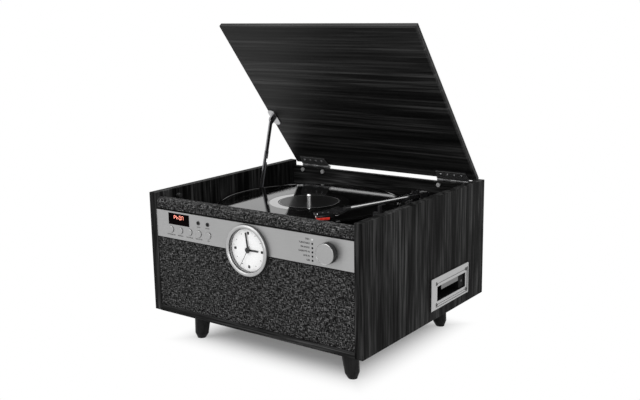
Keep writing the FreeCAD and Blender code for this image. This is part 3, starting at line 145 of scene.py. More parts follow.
def soft_lamp(name, place, aim, size, power):
    """Square area lamp at a place, turned towards a point."""
    bpy.ops.object.light_add(type="AREA", location=place)
    lamp = bpy.context.active_object
    lamp.name = name
    lamp.data.size = size
    lamp.data.energy = power
    lamp.rotation_euler = (Vector(aim) - Vector(place)).to_track_quat("-Z", "Y").to_euler()


soft_lamp("lamp_front_left", (-1.3, -2.0, 1.9), (0, 0, 0.15), 1.8, 28)
soft_lamp("lamp_right", (1.7, -1.9, 1.2), (0, -0.1, 0.15), 1.4, 22)
soft_lamp("lamp_top", (0.0, 0.1, 2.6), (0, 0, 0.2), 2.0, 52)

# Cabinet boards. Fibreboard in a black wood-print laminate with an open, streaky grain,
# which runs up the sides and across the floor and the back.


def threefold(value):
    """One number as three alike; three numbers as they are."""
    return (value, value, value) if isinstance(value, float) else value


def new_finish(name, roughness, metal=0.0, specular=0.5):
    """Material with its Principled shader; constant values sit on the shader's own sockets."""
    finish = bpy.data.materials.new(name)
    finish.use_nodes = True
    shader = finish.node_tree.nodes["Principled BSDF"]
    shader.inputs["Roughness"].default_value = roughness
    shader.inputs["Metallic"].default_value = metal
    shader.inputs["Specular IOR Level"].default_value = specular
    return finish, finish.node_tree, shader


def stretched(tree, scale, shift=(0, 0, 0)):
    """The piece's own coordinates, stretched by one scale or by one for each axis, and shifted."""
    stretch = wired(tree, "Mapping", wired(tree, "TexCoord").outputs["Object"])
    stretch.inputs["Scale"].default_value = threefold(scale)
    stretch.inputs["Location"].default_value = shift
    return stretch.outputs["Vector"]


def noise(tree, scale, detail, warp=0.0):
    """Noise in stretched coordinates."""
    texture = wired(tree, "TexNoise", stretched(tree, scale))
    texture.inputs["Scale"].default_value = 1.0
    texture.inputs["Detail"].default_value = detail
    texture.inputs["Distortion"].default_value = warp
    return texture.outputs["Fac"]


def ramp(tree, source, stops):
    """Colour ramp from (place, grey or colour) stops."""
    bar = wired(tree, "ValToRGB", source)
    while len(bar.color_ramp.elements) < len(stops):
        bar.color_ramp.elements.new(0.5)
    for element, (place, tone) in zip(bar.color_ramp.elements, stops):
        element.position = place
        element.color = (*threefold(tone), 1)
    return bar.outputs["Color"]


def mix_colour(tree, first, second, blend="MULTIPLY", share=1.0):
    """Mix of two colour outputs."""
    mixer = wired(tree, "Mix")
    mixer.data_type = "RGBA"
    mixer.blend_type = blend
    mixer.inputs["Factor"].default_value = share
    tree.links.new(first, mixer.inputs["A"])
    tree.links.new(second, mixer.inputs["B"])
    return mixer.outputs["Result"]


def relief(tree, shader, source, depth, strength=1.0):
    """Bump from a texture output."""
    bump = wired(tree, "Bump")
    bump.inputs["Strength"].default_value = strength
    bump.inputs["Distance"].default_value = depth
    tree.links.new(source, bump.inputs["Height"])
    tree.links.new(bump.outputs["Normal"], shader.inputs["Normal"])


def gloss(tree, shader, source, low, high):
    """Roughness between two values, from a texture output."""
    spread = wired(tree, "MapRange", source)
    spread.inputs["To Min"].default_value = low
    spread.inputs["To Max"].default_value = high
    tree.links.new(spread.outputs["Result"], shader.inputs["Roughness"])


def wood_print(name, grain, specular, depth=1.0, shorter=1.0):
    """Black laminate; grain is the streaks' axis, depth scales their tone and shorter how soon they end."""
    finish, tree, shader = new_finish(name, 0.5, specular=specular)
    layers = []
    for across, along, warp in ((52.0, 4.5, 0.9), (190.0, 8.0, 0.0), (620.0, 18.0, 0.0)):
        scale = [across, across, across]
        scale[grain] = along * shorter
        layers.append(noise(tree, scale, 3.0, warp))
    broad, middle, fine = layers
    broad_stops = ((0.34, 0.0045), (0.5, 0.0125), (0.6, 0.022), (0.72, 0.034))
    tone = ramp(tree, broad, [(place, grey * depth) for place, grey in broad_stops])
    tone = mix_colour(tree, tone, ramp(tree, middle, ((0.36, 0.35), (0.5, 0.95), (0.64, 1.75))))
    tone = mix_colour(tree, tone, ramp(tree, fine, ((0.36, 0.4), (0.5, 0.95), (0.64, 1.6))))
    tree.links.new(tone, shader.inputs["Base Color"])
    gloss(tree, shader, fine, 0.4, 0.62)
    relief(tree, shader, fine, 0.00012, 0.6)
    return finish


def dress(finish, *names):
    """Give CAD nodes a finish."""
    for name in names:
        cad[name].data.materials.clear()
        cad[name].data.materials.append(finish)


upright_wood = wood_print("upright_wood", 2, 0.02)
level_wood = wood_print("level_wood", 0, 0.02)
dress(upright_wood, "left_side_panel", "right_side_panel")
dress(level_wood, "bottom_panel", "back_panel")

# Feet. Four turned hardwood feet in satin black paint, screwed up into the cabinet floor,
# each with a chamfered shoulder and a smaller glide; baffle and rail behind the cloth have the same paint.


def speckled(name, roughness, scale, detail, stops, specular=0.5, depth=0.0, strength=1.0, sockets=None):
    """Finish whose colour follows one noise, with relief if it has depth and constants on other sockets."""
    finish, tree, shader = new_finish(name, roughness, specular=specular)
    grain = noise(tree, scale, detail)
    tone = ramp(tree, grain, stops)
    tree.links.new(tone, shader.inputs["Base Color"])
    if depth:
        relief(tree, shader, grain, depth, strength)
    for socket, value in (sockets or {}).items():
        shader.inputs[socket].default_value = value
        if socket == "Emission Strength":
            tree.links.new(tone, shader.inputs["Emission Color"])
    return finish


foot_paint = speckled("foot_paint", 0.42, (260.0, 260.0, 60.0), 4.0, ((0.3, 0.008), (0.7, 0.02)),
                      specular=0.06, depth=0.00008, strength=0.5)
dress(foot_paint, "feet", "top_rail", "front_baffle")

# Deck cleats. Strips of bare medium fibreboard, glued to the side panels;
# the deck covers them, so they only show from inside.
fibre_stops = ((0.3, (0.13, 0.08, 0.045)), (0.55, (0.24, 0.155, 0.085)), (0.75, (0.33, 0.23, 0.14)))
raw_board = speckled("raw_board", 0.85, 420.0, 6.0, fibre_stops, specular=0.2, depth=0.0002)
dress(raw_board, "deck_cleats")

# Speaker cloth. A coarse black, grey and white tweed, glued over the baffle below the control panel,
# and a second strip of it wrapped round the rail above the panel; the raw edges are tucked behind.
tweed, tree, shader = new_finish("tweed", 0.92, specular=0.05)
across = noise(tree, (130.0, 760.0, 760.0), 2.0)
upward = noise(tree, (740.0, 190.0, 190.0), 2.0)
slubs = noise(tree, 520.0, 2.0)
yarn_stops = ((0.42, 0.001), (0.5, 0.0055), (0.57, 0.026), (0.66, 0.105))
threads = mix_colour(tree, ramp(tree, across, yarn_stops), ramp(tree, upward, yarn_stops), "LIGHTEN")
yarn = mix_colour(tree, threads, ramp(tree, slubs, ((0.38, 0.5), (0.52, 0.95), (0.66, 1.6))))
tree.links.new(yarn, shader.inputs["Base Color"])
relief(tree, shader, mix_colour(tree, across, upward, "MIX", 0.5), 0.0006)


def closed():
    """Leave edit mode."""
    if bpy.context.mode != "OBJECT":
        bpy.ops.object.mode_set(mode="OBJECT")


def fresh():
    """Leave edit mode and deselect everything."""
    closed()
    bpy.ops.object.select_all(action="DESELECT")


def only(piece):
    """Select one piece alone."""
    fresh()
    piece.select_set(True)
    bpy.context.view_layer.objects.active = piece


def named(name):
    """Name the active piece and its mesh."""
    piece = bpy.context.active_object
    piece.name = name
    piece.data.name = name
    return piece


def begin(name):
    """Name the primitive that was just added, put its place into its mesh and open it."""
    piece = named(name)
    bpy.ops.object.transform_apply(location=True, rotation=True, scale=True)
    bpy.ops.object.mode_set(mode="EDIT")
    return piece


def box(name, low, high):
    """Box between two corners, left open in edit mode."""
    fresh()
    bpy.ops.mesh.primitive_cube_add(size=1.0, location=(low + high) / 2)
    bpy.context.active_object.scale = high - low
    return begin(name)


def pick(piece, kind, test):
    """Select only the faces, edges or points that pass a test of their place and direction."""
    bpy.ops.mesh.select_mode(type=kind)
    bpy.ops.mesh.select_all(action="DESELECT")
    shape = bmesh.from_edit_mesh(piece.data)
    if kind == "FACE":
        for face in shape.faces:
            face.select_set(bool(test(face.calc_center_median(), face.normal)))
    elif kind == "EDGE":
        for edge in shape.edges:
            first, second = edge.verts[0].co, edge.verts[1].co
            edge.select_set(bool(test((first + second) / 2, (second - first).normalized())))
    else:
        for point in shape.verts:
            point.select_set(bool(test(point.co, point.normal)))
    shape.select_flush_mode()
    bmesh.update_edit_mesh(piece.data)


def settle(piece, kind, **settings):
    """Add a modifier and apply it."""
    closed()
    modifier = piece.modifiers.new(kind.lower(), kind)
    for key, value in settings.items():
        setattr(modifier, key, value)
    bpy.ops.object.modifier_apply(modifier=modifier.name)


def cut(piece, cutter):
    """Take a cutter out of a piece and drop it."""
    only(piece)
    settle(piece, "BOOLEAN", operation="DIFFERENCE", object=cutter, solver="EXACT")
    bpy.data.objects.remove(cutter)


def leave(piece, body, finish, angle=32):
    """Close a piece: shade it, give it its finish, and hand it to its body."""
    closed()
    bpy.ops.object.shade_smooth_by_angle(angle=math.radians(angle))
    piece.data.materials.clear()
    piece.data.materials.append(finish)
    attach(piece, body)


def corners(name):
    """The low and the high corner of a CAD node."""
    return [Vector(corner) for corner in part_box(name)]


cloth_low, cloth_high = corners("speaker_cloth")
panel_low, panel_high = corners("control_panel")
ring_low, ring_high = corners("clock_bezel")
clock_middle = (ring_low + ring_high) / 2
to_front = (math.radians(90), 0, 0)
cloth_thick = 0.8 * mm
clock_hole = 36.6 * mm
cutter_length = 20 * mm
sheet_width = panel_high.x - panel_low.x
cloth_gap = 1.8 * mm
sheet_height = panel_low.z - cloth_gap - cloth_low.z
fresh()
bpy.ops.mesh.primitive_grid_add(x_subdivisions=96, y_subdivisions=30, size=1.0, rotation=to_front,
                                location=(0, cloth_low.y, cloth_low.z + sheet_height / 2))
bpy.context.active_object.scale = (sheet_width, sheet_height, 1)
front_cloth = begin("front_cloth")
settle(front_cloth, "SOLIDIFY", thickness=cloth_thick, offset=-1.0)
bpy.ops.mesh.primitive_cylinder_add(vertices=96, radius=clock_hole, depth=cutter_length, rotation=to_front,
                                    location=(clock_middle.x, cloth_low.y, clock_middle.z))
cut(front_cloth, bpy.context.active_object)
leave(front_cloth, "cabinet", tweed)
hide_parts("speaker_cloth")

wrap_gap = 2.8 * mm
wrap_low = Vector((cloth_low.x, cloth_low.y, panel_high.z + wrap_gap))
wrap_high = cloth_high
wrap_front_round = 8.0 * mm
wrap_rear_round = 11.0 * mm
rail_cloth = box("rail_cloth", wrap_low, wrap_high)
pick(rail_cloth, "EDGE", lambda at, way: at.z > wrap_high.z - 1e-5 and at.y < wrap_low.y + 1e-5)
bpy.ops.mesh.bevel(offset=wrap_front_round, segments=10, affect="EDGES")
pick(rail_cloth, "EDGE", lambda at, way: abs(way.x) > 0.99 and at.z > wrap_high.z - 1e-5
     and at.y > wrap_high.y - 1e-5)
bpy.ops.mesh.bevel(offset=wrap_rear_round, segments=12, affect="EDGES")
pick(rail_cloth, "FACE", lambda at, way: abs(way.x) > 0.9 or way.z < -0.9)
bpy.ops.mesh.delete(type="FACE")
settle(rail_cloth, "SOLIDIFY", thickness=cloth_thick, offset=-1.0)
leave(rail_cloth, "cabinet", tweed)
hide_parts("speaker_cloth")

# Control panel. A thin satin aluminium strip across the front, screwed to the baffle from behind,
# brushed along its length and pierced for the display, jacks, buttons, lights and knob.


def shades(tone, *factors):
    """Ramp stops of one grey or colour, from (place, factor) pairs."""
    return [(place, tuple(part * factor for part in threefold(tone))) for place, factor in factors]


def satin_metal(name, tone, roughness, brush, metal=0.9, contrast=0.08, unshaded_facing=None, side=1.0):
    """Brushed or blasted metal; brush is the noise scale, side a factor of painted shade on faces that look
    another way.
    """
    finish, tree, shader = new_finish(name, roughness, metal)
    lines = noise(tree, brush, 4.0)
    cloud = noise(tree, 9.0, 2.0)
    shade = ramp(tree, lines, shades(tone, (0.25, 1 - contrast), (0.75, 1 + contrast)))
    colour = mix_colour(tree, shade, ramp(tree, cloud, ((0.3, 0.96), (0.7, 1.03))))
    # Painted shade: faces turned away from the given direction are darkened by the side factor.
    if unshaded_facing:
        surface = wired(tree, "NewGeometry")
        towards = wired(tree, "VectorMath", surface.outputs["Normal"], operation="DOT_PRODUCT")
        towards.inputs[1].default_value = unshaded_facing
        colour = mix_colour(tree, colour, ramp(tree, towards.outputs["Value"], ((0.1, side), (0.7, 1.0))))
    tree.links.new(colour, shader.inputs["Base Color"])
    gloss(tree, shader, lines, roughness * 0.85, roughness * 1.2)
    relief(tree, shader, lines, 0.00002, 0.6)
    return finish


panel_silver = satin_metal("panel_silver", 0.368, 0.44, (60.0, 900.0, 1400.0), contrast=0.035)
dress(panel_silver, "control_panel")

# Panel print. Small screen-printed words under the buttons and jacks and beside the lights,
# in thin dark ink that stands a hair above the metal.
print_ink = speckled("print_ink", 0.55, 2500.0, 2.0, ((0.3, 0.006), (0.7, 0.014)), specular=0.3)
ink_thick = 0.02 * mm
ink_proud = 0.01 * mm
stroke_share = 0.026
button_word = 2.6 * mm
jack_word = 2.2 * mm
light_word = 3.5 * mm
word_drop = 1.9 * mm
light_word_gap = 3.2 * mm


def stand(piece, place, tilt=(0, 0, 0)):
    """Tilt the selected piece, move it to a place and put both into its mesh."""
    closed()
    piece.rotation_euler = tilt
    piece.location = place
    bpy.ops.object.transform_apply(location=True, rotation=True, scale=True)
    return piece


def word(words, size, place, anchor="CENTER"):
    """One printed word as a thin mesh that faces the front."""
    fresh()
    bpy.ops.object.text_add(location=(0, 0, 0))
    letters = bpy.context.active_object
    letters.data.body = words
    letters.data.size = size
    letters.data.align_x = anchor
    letters.data.align_y = "CENTER"
    letters.data.extrude = ink_thick
    letters.data.offset = size * stroke_share
    letters.data.resolution_u = 3
    bpy.ops.object.convert(target="MESH")
    return stand(bpy.context.active_object, place, to_front)


def joined(name, pieces):
    """Join finished meshes into the first of them."""
    fresh()
    for piece in pieces:
        piece.select_set(True)
    bpy.context.view_layer.objects.active = pieces[0]
    bpy.ops.object.join()
    return named(name)


print_face = panel_low.y - ink_proud
labels = []
for number, words in enumerate(("POWER/MODE", "PREVIOUS", "PLAY/PAUSE", "NEXT/TUNE", "EQ"), 1):
    low, high = corners("button_%d" % number)
    labels.append(word(words, button_word, ((low.x + high.x) / 2, print_face, low.z - word_drop)))
jacks_low, jacks_high = corners("front_jacks")
for share, words in ((0.17, "LINE IN"), (0.83, "PHONES")):
    jack_at = jacks_low.x + (jacks_high.x - jacks_low.x) * share
    labels.append(word(words, jack_word, (jack_at, print_face, jacks_low.z - word_drop)))
lights_low, lights_high = corners("indicator_leds")
light_names = ("DISC", "TURNTABLE", "FM RADIO", "CASSETTE IN", "LINE IN", "USB")
light_radius = (lights_high.x - lights_low.x) / 2
light_pitch = (lights_high.z - lights_low.z - 2 * light_radius) / (len(light_names) - 1)
for number, words in enumerate(light_names):
    height = lights_high.z - light_radius - number * light_pitch
    labels.append(word(words, light_word, (lights_low.x - light_word_gap, print_face, height), "RIGHT"))
panel_print = joined("panel_print", labels)
leave(panel_print, "cabinet", print_ink)

# Display. A smoked black window clipped into the panel from behind, with four lit red
# seven-segment characters that lie on its face.
smoke_stops = ((0.3, (0.0006, 0.0004, 0.0004)), (0.7, (0.0018, 0.0008, 0.0009)))
smoked_window = speckled("smoked_window", 0.1, 90.0, 3.0, smoke_stops, specular=0.01)
dress(smoked_window, "display_module")
lit_red = speckled("lit_red", 0.4, 700.0, 1.0, ((0.3, (1.0, 0.24, 0.17)), (0.7, (1.0, 0.40, 0.30))),
                   sockets={"Emission Strength": 1.5})
window_low, window_high = corners("display_module")
window_left = -164.7 * mm
window_low.x = max(window_low.x, window_left)
character_width = 3.3 * mm
character_height = 6.0 * mm
character_pitch = 5.6 * mm
segment_wide = 0.75 * mm
segment_deep = 0.03 * mm
segment_proud = 0.04 * mm
segment_places = {
    "top": (0, 0.5, 0), "middle": (0, 0, 0), "bottom": (0, -0.5, 0), "upper_left": (-0.5, 0.25, 90),
    "upper_right": (0.5, 0.25, 90), "lower_left": (-0.5, -0.25, 90), "lower_right": (0.5, -0.25, 90)}
arch = ("top", "upper_left", "upper_right", "lower_left", "lower_right")
characters = (("top", "upper_left", "upper_right", "middle", "lower_left"),
              ("upper_left", "middle", "lower_left", "lower_right"), (*arch, "bottom"), arch)
display_middle = Vector(((window_low.x + window_high.x) / 2, window_low.y - segment_proud,
                         window_low.z + (window_high.z - window_low.z) * 0.66))


def sealed():
    """Turn all faces of the open piece outwards and leave edit mode."""
    bpy.ops.mesh.select_all(action="SELECT")
    bpy.ops.mesh.normals_make_consistent(inside=False)
    closed()


def thickened(name, shift):
    """Draw the flat primitive that was just added out by a shift."""
    piece = begin(name)
    bpy.ops.mesh.select_all(action="SELECT")
    bpy.ops.mesh.extrude_region_move(TRANSFORM_OT_translate={"value": shift})
    sealed()
    return piece


segments = []
for number, lit in enumerate(characters):
    for name in lit:
        across_share, up_share, turn = segment_places[name]
        at = display_middle + Vector(((number - 1.5) * character_pitch + across_share * character_width, 0,
                                      up_share * character_height))
        length = character_width if turn == 0 else character_height / 2
        fresh()
        bpy.ops.mesh.primitive_circle_add(vertices=6, radius=0.5, fill_type="NGON",
                                          rotation=(math.radians(90), math.radians(turn), 0), location=at)
        bpy.context.active_object.scale = (length * 0.98, segment_wide, 1)
        segments.append(thickened("segment", (0, segment_deep, 0)))
display_characters = joined("display_characters", segments)
leave(display_characters, "cabinet", lit_red)

# Front jacks and other moulded black parts: injection-moulded plastic with a fine spark-eroded
# texture and a slightly polished bloom where hands touch it.


def moulded(name, tone, roughness, grain, depth, specular=0.4):
    """Textured moulded plastic or rubber."""
    finish, tree, shader = new_finish(name, roughness, specular=specular)
    texture = noise(tree, grain, 3.0)
    handled = noise(tree, 25.0, 3.0)
    tree.links.new(ramp(tree, texture, shades(tone, (0.3, 0.75), (0.7, 1.3))), shader.inputs["Base Color"])
    gloss(tree, shader, handled, roughness * 0.8, roughness * 1.25)
    relief(tree, shader, texture, depth)
    return finish


black_plastic = moulded("black_plastic", (0.012, 0.012, 0.0125), 0.38, 1400.0, 0.00006)
dress(black_plastic, "front_jacks")

# Indicator lights. Six clear light pipes pressed into the panel beside their words;
# the first is lit and the other five are dark.


def turned(name, sides, profile, place=(0, 0, 0), tilt=(0, 0, 0), hole=False):
    """Turned piece: a circle drawn out ring by ring through (radius, height) pairs, tilted and placed."""
    fresh()
    radius, height = profile[0]
    bpy.ops.mesh.primitive_circle_add(vertices=sides, radius=radius, location=(0, 0, height),
                                      fill_type="NOTHING" if hole else "NGON")
    piece = begin(name)
    bpy.ops.mesh.select_mode(type="EDGE" if hole else "FACE")
    bpy.ops.mesh.select_all(action="SELECT")
    for next_radius, next_height in profile[1:]:
        bpy.ops.mesh.extrude_region_move(TRANSFORM_OT_translate={"value": (0, 0, next_height - height)})
        share = next_radius / radius
        bpy.ops.transform.resize(value=(share, share, 1), center_override=(0, 0, next_height))
        radius, height = next_radius, next_height
    if hole:
        bpy.ops.mesh.select_all(action="SELECT")
        bpy.ops.mesh.remove_doubles(threshold=1e-7)
    sealed()
    return stand(piece, place, tilt)


def scaled(shares, radius, height):
    """Profile of a turned piece, from shares of a radius and a height."""
    return [(radius * across_share, height * up_share) for across_share, up_share in shares]


def placed(name, piece, shift):
    """Copy of a finished mesh, moved by a shift, with a mesh of its own."""
    fresh()
    copy = piece.copy()
    copy.data = piece.data.copy()
    bpy.context.collection.objects.link(copy)
    only(copy)
    return stand(named(name), shift)


light_middle = (lights_low.x + lights_high.x) / 2
light_proud = panel_low.y - lights_low.y
light_seat = 1.0 * mm
light_profile = [(light_radius, -light_seat)]
light_profile += scaled(((1, 0.45), (0.86, 0.8), (0.5, 0.97), (0.12, 1)), light_radius, light_proud)
first_light = (light_middle, panel_low.y, lights_high.z - light_radius)
lit_pipe = turned("lit_pipe", 24, light_profile, first_light, to_front)
dark_pipes = [placed("dark_pipe", lit_pipe, (0, 0, -light_pitch * number)) for number in range(1, 6)]
pipe_white = speckled("pipe_white", 0.3, 900.0, 1.0, ((0.3, (0.46, 0.47, 0.48)), (0.7, (0.55, 0.55, 0.55))),
                      sockets={"Emission Strength": 0.05})
pipe_dark = moulded("pipe_dark", (0.003, 0.003, 0.0032), 0.4, 600.0, 0.00002, 0.03)
leave(lit_pipe, "cabinet", pipe_white)
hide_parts("indicator_leds")
dark_lights = joined("dark_lights", dark_pipes)
leave(dark_lights, "cabinet", pipe_dark)
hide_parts("indicator_leds")

# Push buttons. Five short round caps of blasted aluminium, each sliding in its own panel hole
# against a switch on the board behind.
# The caps' side walls carry painted shade, nearly black.
button_silver = satin_metal("button_silver", 0.37, 0.4, 900.0, contrast=0.04, unshaded_facing=(0, -1, 0), side=0.03)
dress(button_silver, "button_1", "button_2", "button_3", "button_4", "button_5")

# Volume knob. A turned aluminium cap with a finely knurled skirt, a bright chamfer and a flat, spun face,
# pressed on the control's shaft.
knob_low, knob_high = corners("volume_knob")
knob_middle = (knob_low + knob_high) / 2
knob_radius = (knob_high.x - knob_low.x) / 2
knob_gap = 0.8 * mm
knob_back = panel_low.y - knob_gap
knob_depth = knob_back - knob_low.y
knob_place = (knob_middle.x, knob_back, knob_middle.z)
knurl_sides = 160
knurl_share = 0.972
knob_profile = scaled(((0.95, 0), (1, 0.06), (1, 0.9), (0.98, 0.93), (0.95, 0.93), (0.945, 0.975),
                       (0.5, 0.97), (0.04, 0.968)), knob_radius, knob_depth)
knob_cap = turned("knob_cap", knurl_sides, knob_profile, knob_place, to_front)
bpy.ops.object.mode_set(mode="EDIT")


def on_knurl(at, way):
    """Every second point round the skirt."""
    out = Vector((at.x - knob_middle.x, at.z - knob_middle.z))
    step = round(math.degrees(math.atan2(out.y, out.x)) / (360 / knurl_sides))
    return out.length > knob_radius * 0.995 and step % 2 == 0


pick(knob_cap, "VERT", on_knurl)
bpy.ops.transform.resize(value=(knurl_share, 1, knurl_share), center_override=knob_middle)
# The knurled skirt carries painted shade, darker than the face.
knob_silver = satin_metal("knob_silver", 0.36, 0.36, (1100.0, 200.0, 1100.0), contrast=0.05,
                          unshaded_facing=(0, -1, 0), side=0.14)
leave(knob_cap, "volume_knob", knob_silver, 20)
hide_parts("volume_knob")
rim_profile = scaled(((0.945, 0.92), (0.99, 0.91), (0.99, 0.95), (0.975, 0.985), (0.96, 1), (0.945, 0.985),
                      (0.945, 0.92)), knob_radius, knob_depth)
knob_rim = turned("knob_rim", 96, rim_profile, knob_place, to_front, hole=True)
rim_silver = satin_metal("rim_silver", 0.34, 0.26, 300.0, 1.0)
leave(knob_rim, "volume_knob", rim_silver, 20)

# Clock. A satin turned ring pressed into the front, a white printed dial, three black hands on the movement
# and a flat clear lens behind the ring's lip.
# The ring's walls that do not face the front carry painted shade.
clock_silver = satin_metal("clock_silver", 0.43, 0.42, 700.0, contrast=0.04, unshaded_facing=(0, -1, 0), side=0.2)
dress(clock_silver, "clock_bezel")
dial_paper = speckled("dial_paper", 0.6, 1500.0, 3.0, ((0.3, 0.78), (0.7, 0.83)), specular=0.3)
dress(dial_paper, "clock_dial")
hand_black = moulded("hand_black", 0.008, 0.35, 900.0, 0.00002)
dress(hand_black, "hour_hand", "minute_hand", "second_hand")
dial_face = corners("clock_dial")[0].y
mark_thick = 0.06 * mm


def dial_mark(name, width, length, radius, count):
    """One printed bar at the top of the dial, repeated round it."""
    middle = Vector((clock_middle.x, dial_face - mark_thick / 2, clock_middle.z + radius))
    half = Vector((width, mark_thick, length)) / 2
    mark = box(name, middle - half, middle + half)
    pick(mark, "EDGE", lambda at, way: abs(way.y) > 0.9)
    bpy.ops.mesh.bevel(offset=width * 0.2, segments=2, affect="EDGES")
    bpy.ops.mesh.select_all(action="SELECT")
    bpy.ops.mesh.spin(steps=count - 1, dupli=True, angle=math.tau * (count - 1) / count, center=clock_middle,
                      axis=(0, 1, 0))
    sealed()
    return mark


quarter_marks = dial_mark("quarter_marks", 4.0 * mm, 4.6 * mm, 26.0 * mm, 4)
hour_marks = dial_mark("hour_marks", 1.0 * mm, 1.8 * mm, 26.6 * mm, 12)
dial_marks = joined("dial_marks", [quarter_marks, hour_marks])
leave(dial_marks, "cabinet", hand_black)
sweep_face = corners("second_hand")[0].y
hand_cap = turned("hand_cap", 32, scaled(((4.4, 0), (4.4, 0.3), (3.7, 0.65), (0.5, 0.9)), mm, mm),
                  (clock_middle.x, sweep_face, clock_middle.z), to_front)
leave(hand_cap, "second_hand", hand_black)
lens_clear = speckled("lens_clear", 0.04, 60.0, 3.0, ((0.3, 0.05), (0.7, 0.09)), sockets={"Alpha": 0.03})
dress(lens_clear, "clock_lens")
# A grey ring round the dial, darker than the bezel, stands for the bezel's inner wall in painted shade.
wall_profile = scaled(((33.9, 0), (33.9, 4.3), (33.3, 4.3), (32.9, 3.9), (32.9, 0), (33.9, 0)), mm, mm)
dial_wall = turned("dial_wall", 96, wall_profile, (clock_middle.x, dial_face, clock_middle.z), to_front,
                   hole=True)
shaded_wall_grey = satin_metal("shaded_wall_grey", 0.19, 0.4, 500.0, 0.6)
leave(dial_wall, "cabinet", shaded_wall_grey)
movement_black = moulded("movement_black", 0.016, 0.5, 700.0, 0.0001)
dress(movement_black, "clock_movement")

# Speakers, circuit boards and motor. They sit inside the cabinet, bolted to the baffle, the panel's back
# and the deck, and are hardly seen from outside.
dark_steel = satin_metal("dark_steel", (0.055, 0.055, 0.058), 0.42, 600.0, 0.7)
plain_steel = satin_metal("plain_steel", (0.46, 0.46, 0.47), 0.28, (300.0, 500.0, 500.0), 1.0)
dress(dark_steel, "speakers")
dress(plain_steel, "motor")
board_green, tree, shader = new_finish("board_green", 0.35)
tracks = wired(tree, "TexVoronoi", stretched(tree, 300.0))
tracks.inputs["Scale"].default_value = 1.0
track_tone = ramp(tree, tracks.outputs["Distance"], ((0.2, (0.01, 0.09, 0.03)), (0.6, (0.02, 0.16, 0.06))))
tree.links.new(track_tone, shader.inputs["Base Color"])
relief(tree, shader, tracks.outputs["Distance"], 0.0001)
dress(board_green, "control_boards")

# Deck plate. One black moulding with a raised front edge behind the rail, resting on the cleats,
# lightly textured against fingerprints.
deck_black = moulded("deck_black", (0.010, 0.010, 0.0105), 0.36, 1100.0, 0.00006)
dress(deck_black, "deck_plate")

# Platter and drive. An aluminium platter with a ribbed rubber mat turns on a steel spindle
# in a brass bearing; a flat rubber belt runs round it from the motor's brass pulley.
spun_aluminium = satin_metal("spun_aluminium", (0.52, 0.52, 0.53), 0.3, (500.0, 500.0, 900.0), 1.0)
bright_steel = satin_metal("bright_steel", 0.80, 0.24, 250.0, 1.0)
worn_brass = satin_metal("worn_brass", (0.58, 0.42, 0.17), 0.3, 300.0, 1.0)
black_rubber = moulded("black_rubber", 0.014, 0.7, 900.0, 0.0001, 0.25)
dress(spun_aluminium, "platter")
dress(bright_steel, "spindle")
dress(worn_brass, "spindle_bearing", "motor_pulley")
dress(black_rubber, "platter_mat", "drive_belt")

# Record. A pressed black disc with a raised rim, a flat band of fine grooves, a smooth lead-out
# and a paper label held a little below the rim; it lies on the mat over the spindle.
record_low, record_high = corners("record")
record_middle = (record_low + record_high) / 2
record_radius = (record_high.x - record_low.x) / 2
record_thick = record_high.z - record_low.z
record_place = (record_middle.x, record_middle.y, record_low.z)
hole_radius = 3.63 * mm
label_radius = 50.0 * mm
lead_out_radius = 68.0 * mm
groove_face = record_thick - 0.35 * mm
lead_out_face = record_thick - 0.4 * mm
label_seat = record_thick - 0.3 * mm
record_profile = (
    (hole_radius, 0), (record_radius - 1.0 * mm, 0), (record_radius, 0.5 * mm),
    (record_radius, record_thick - 0.5 * mm), (record_radius - 0.5 * mm, record_thick - 0.1 * mm),
    (record_radius - 1.2 * mm, record_thick), (record_radius - 3.4 * mm, record_thick - 0.1 * mm),
    (record_radius - 4.2 * mm, groove_face), (lead_out_radius, groove_face),
    (lead_out_radius - 0.6 * mm, lead_out_face), (label_radius + 1.6 * mm, lead_out_face),
    (label_radius + 0.9 * mm, record_thick - 0.15 * mm), (label_radius + 0.2 * mm, label_seat),
    (hole_radius, label_seat), (hole_radius, 0))
record_disc = turned("record_disc", 192, record_profile, record_place, hole=True)


def rings(tree, centre, scale):
    """Fine rings round a centre."""
    wave = wired(tree, "TexWave", centre)
    wave.wave_type = "RINGS"
    wave.rings_direction = "Z"
    wave.inputs["Scale"].default_value = scale
    return wave.outputs["Fac"]


def flat_ring(inner, outer, low, high):
    """Closed profile of a flat ring."""
    return ((inner, low), (outer, low), (outer, high), (inner, high), (inner, low))


vinyl, tree, shader = new_finish("vinyl", 0.05, specular=0.4)
vinyl_centre = stretched(tree, 1.0, (-record_middle.x, -record_middle.y, 0))
bands = rings(tree, vinyl_centre, 17.0)
vinyl_tone = ramp(tree, bands, ((0.0, 0.0012), (0.9, 0.0018), (0.98, 0.006)))
tree.links.new(vinyl_tone, shader.inputs["Base Color"])
relief(tree, shader, rings(tree, vinyl_centre, 330.0), 0.000006, 0.4)
leave(record_disc, "platter", vinyl, 4)
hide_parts("record")
run_out_profile = flat_ring(label_radius + 2.0 * mm, lead_out_radius - 2.0 * mm,
                            record_thick - 0.41 * mm, record_thick - 0.38 * mm)
run_out = turned("run_out", 160, run_out_profile, record_place, hole=True)
vinyl_gloss = speckled("vinyl_gloss", 0.04, 320.0, 3.0, ((0.3, 0.0015), (0.7, 0.003)),
                       sockets={"Coat Weight": 1.0, "Coat Roughness": 0.04})
leave(run_out, "platter", vinyl_gloss, 4)
label_place = (record_middle.x, record_middle.y, record_low.z + label_seat)
label_hole = hole_radius + 0.1 * mm
label_profile = ((label_hole, 0), (label_radius, 0), (label_radius, 0.12 * mm),
                 (label_radius - 0.1 * mm, 0.16 * mm), (label_hole, 0.16 * mm), (label_hole, 0))
record_label = turned("record_label", 128, label_profile, label_place, hole=True)
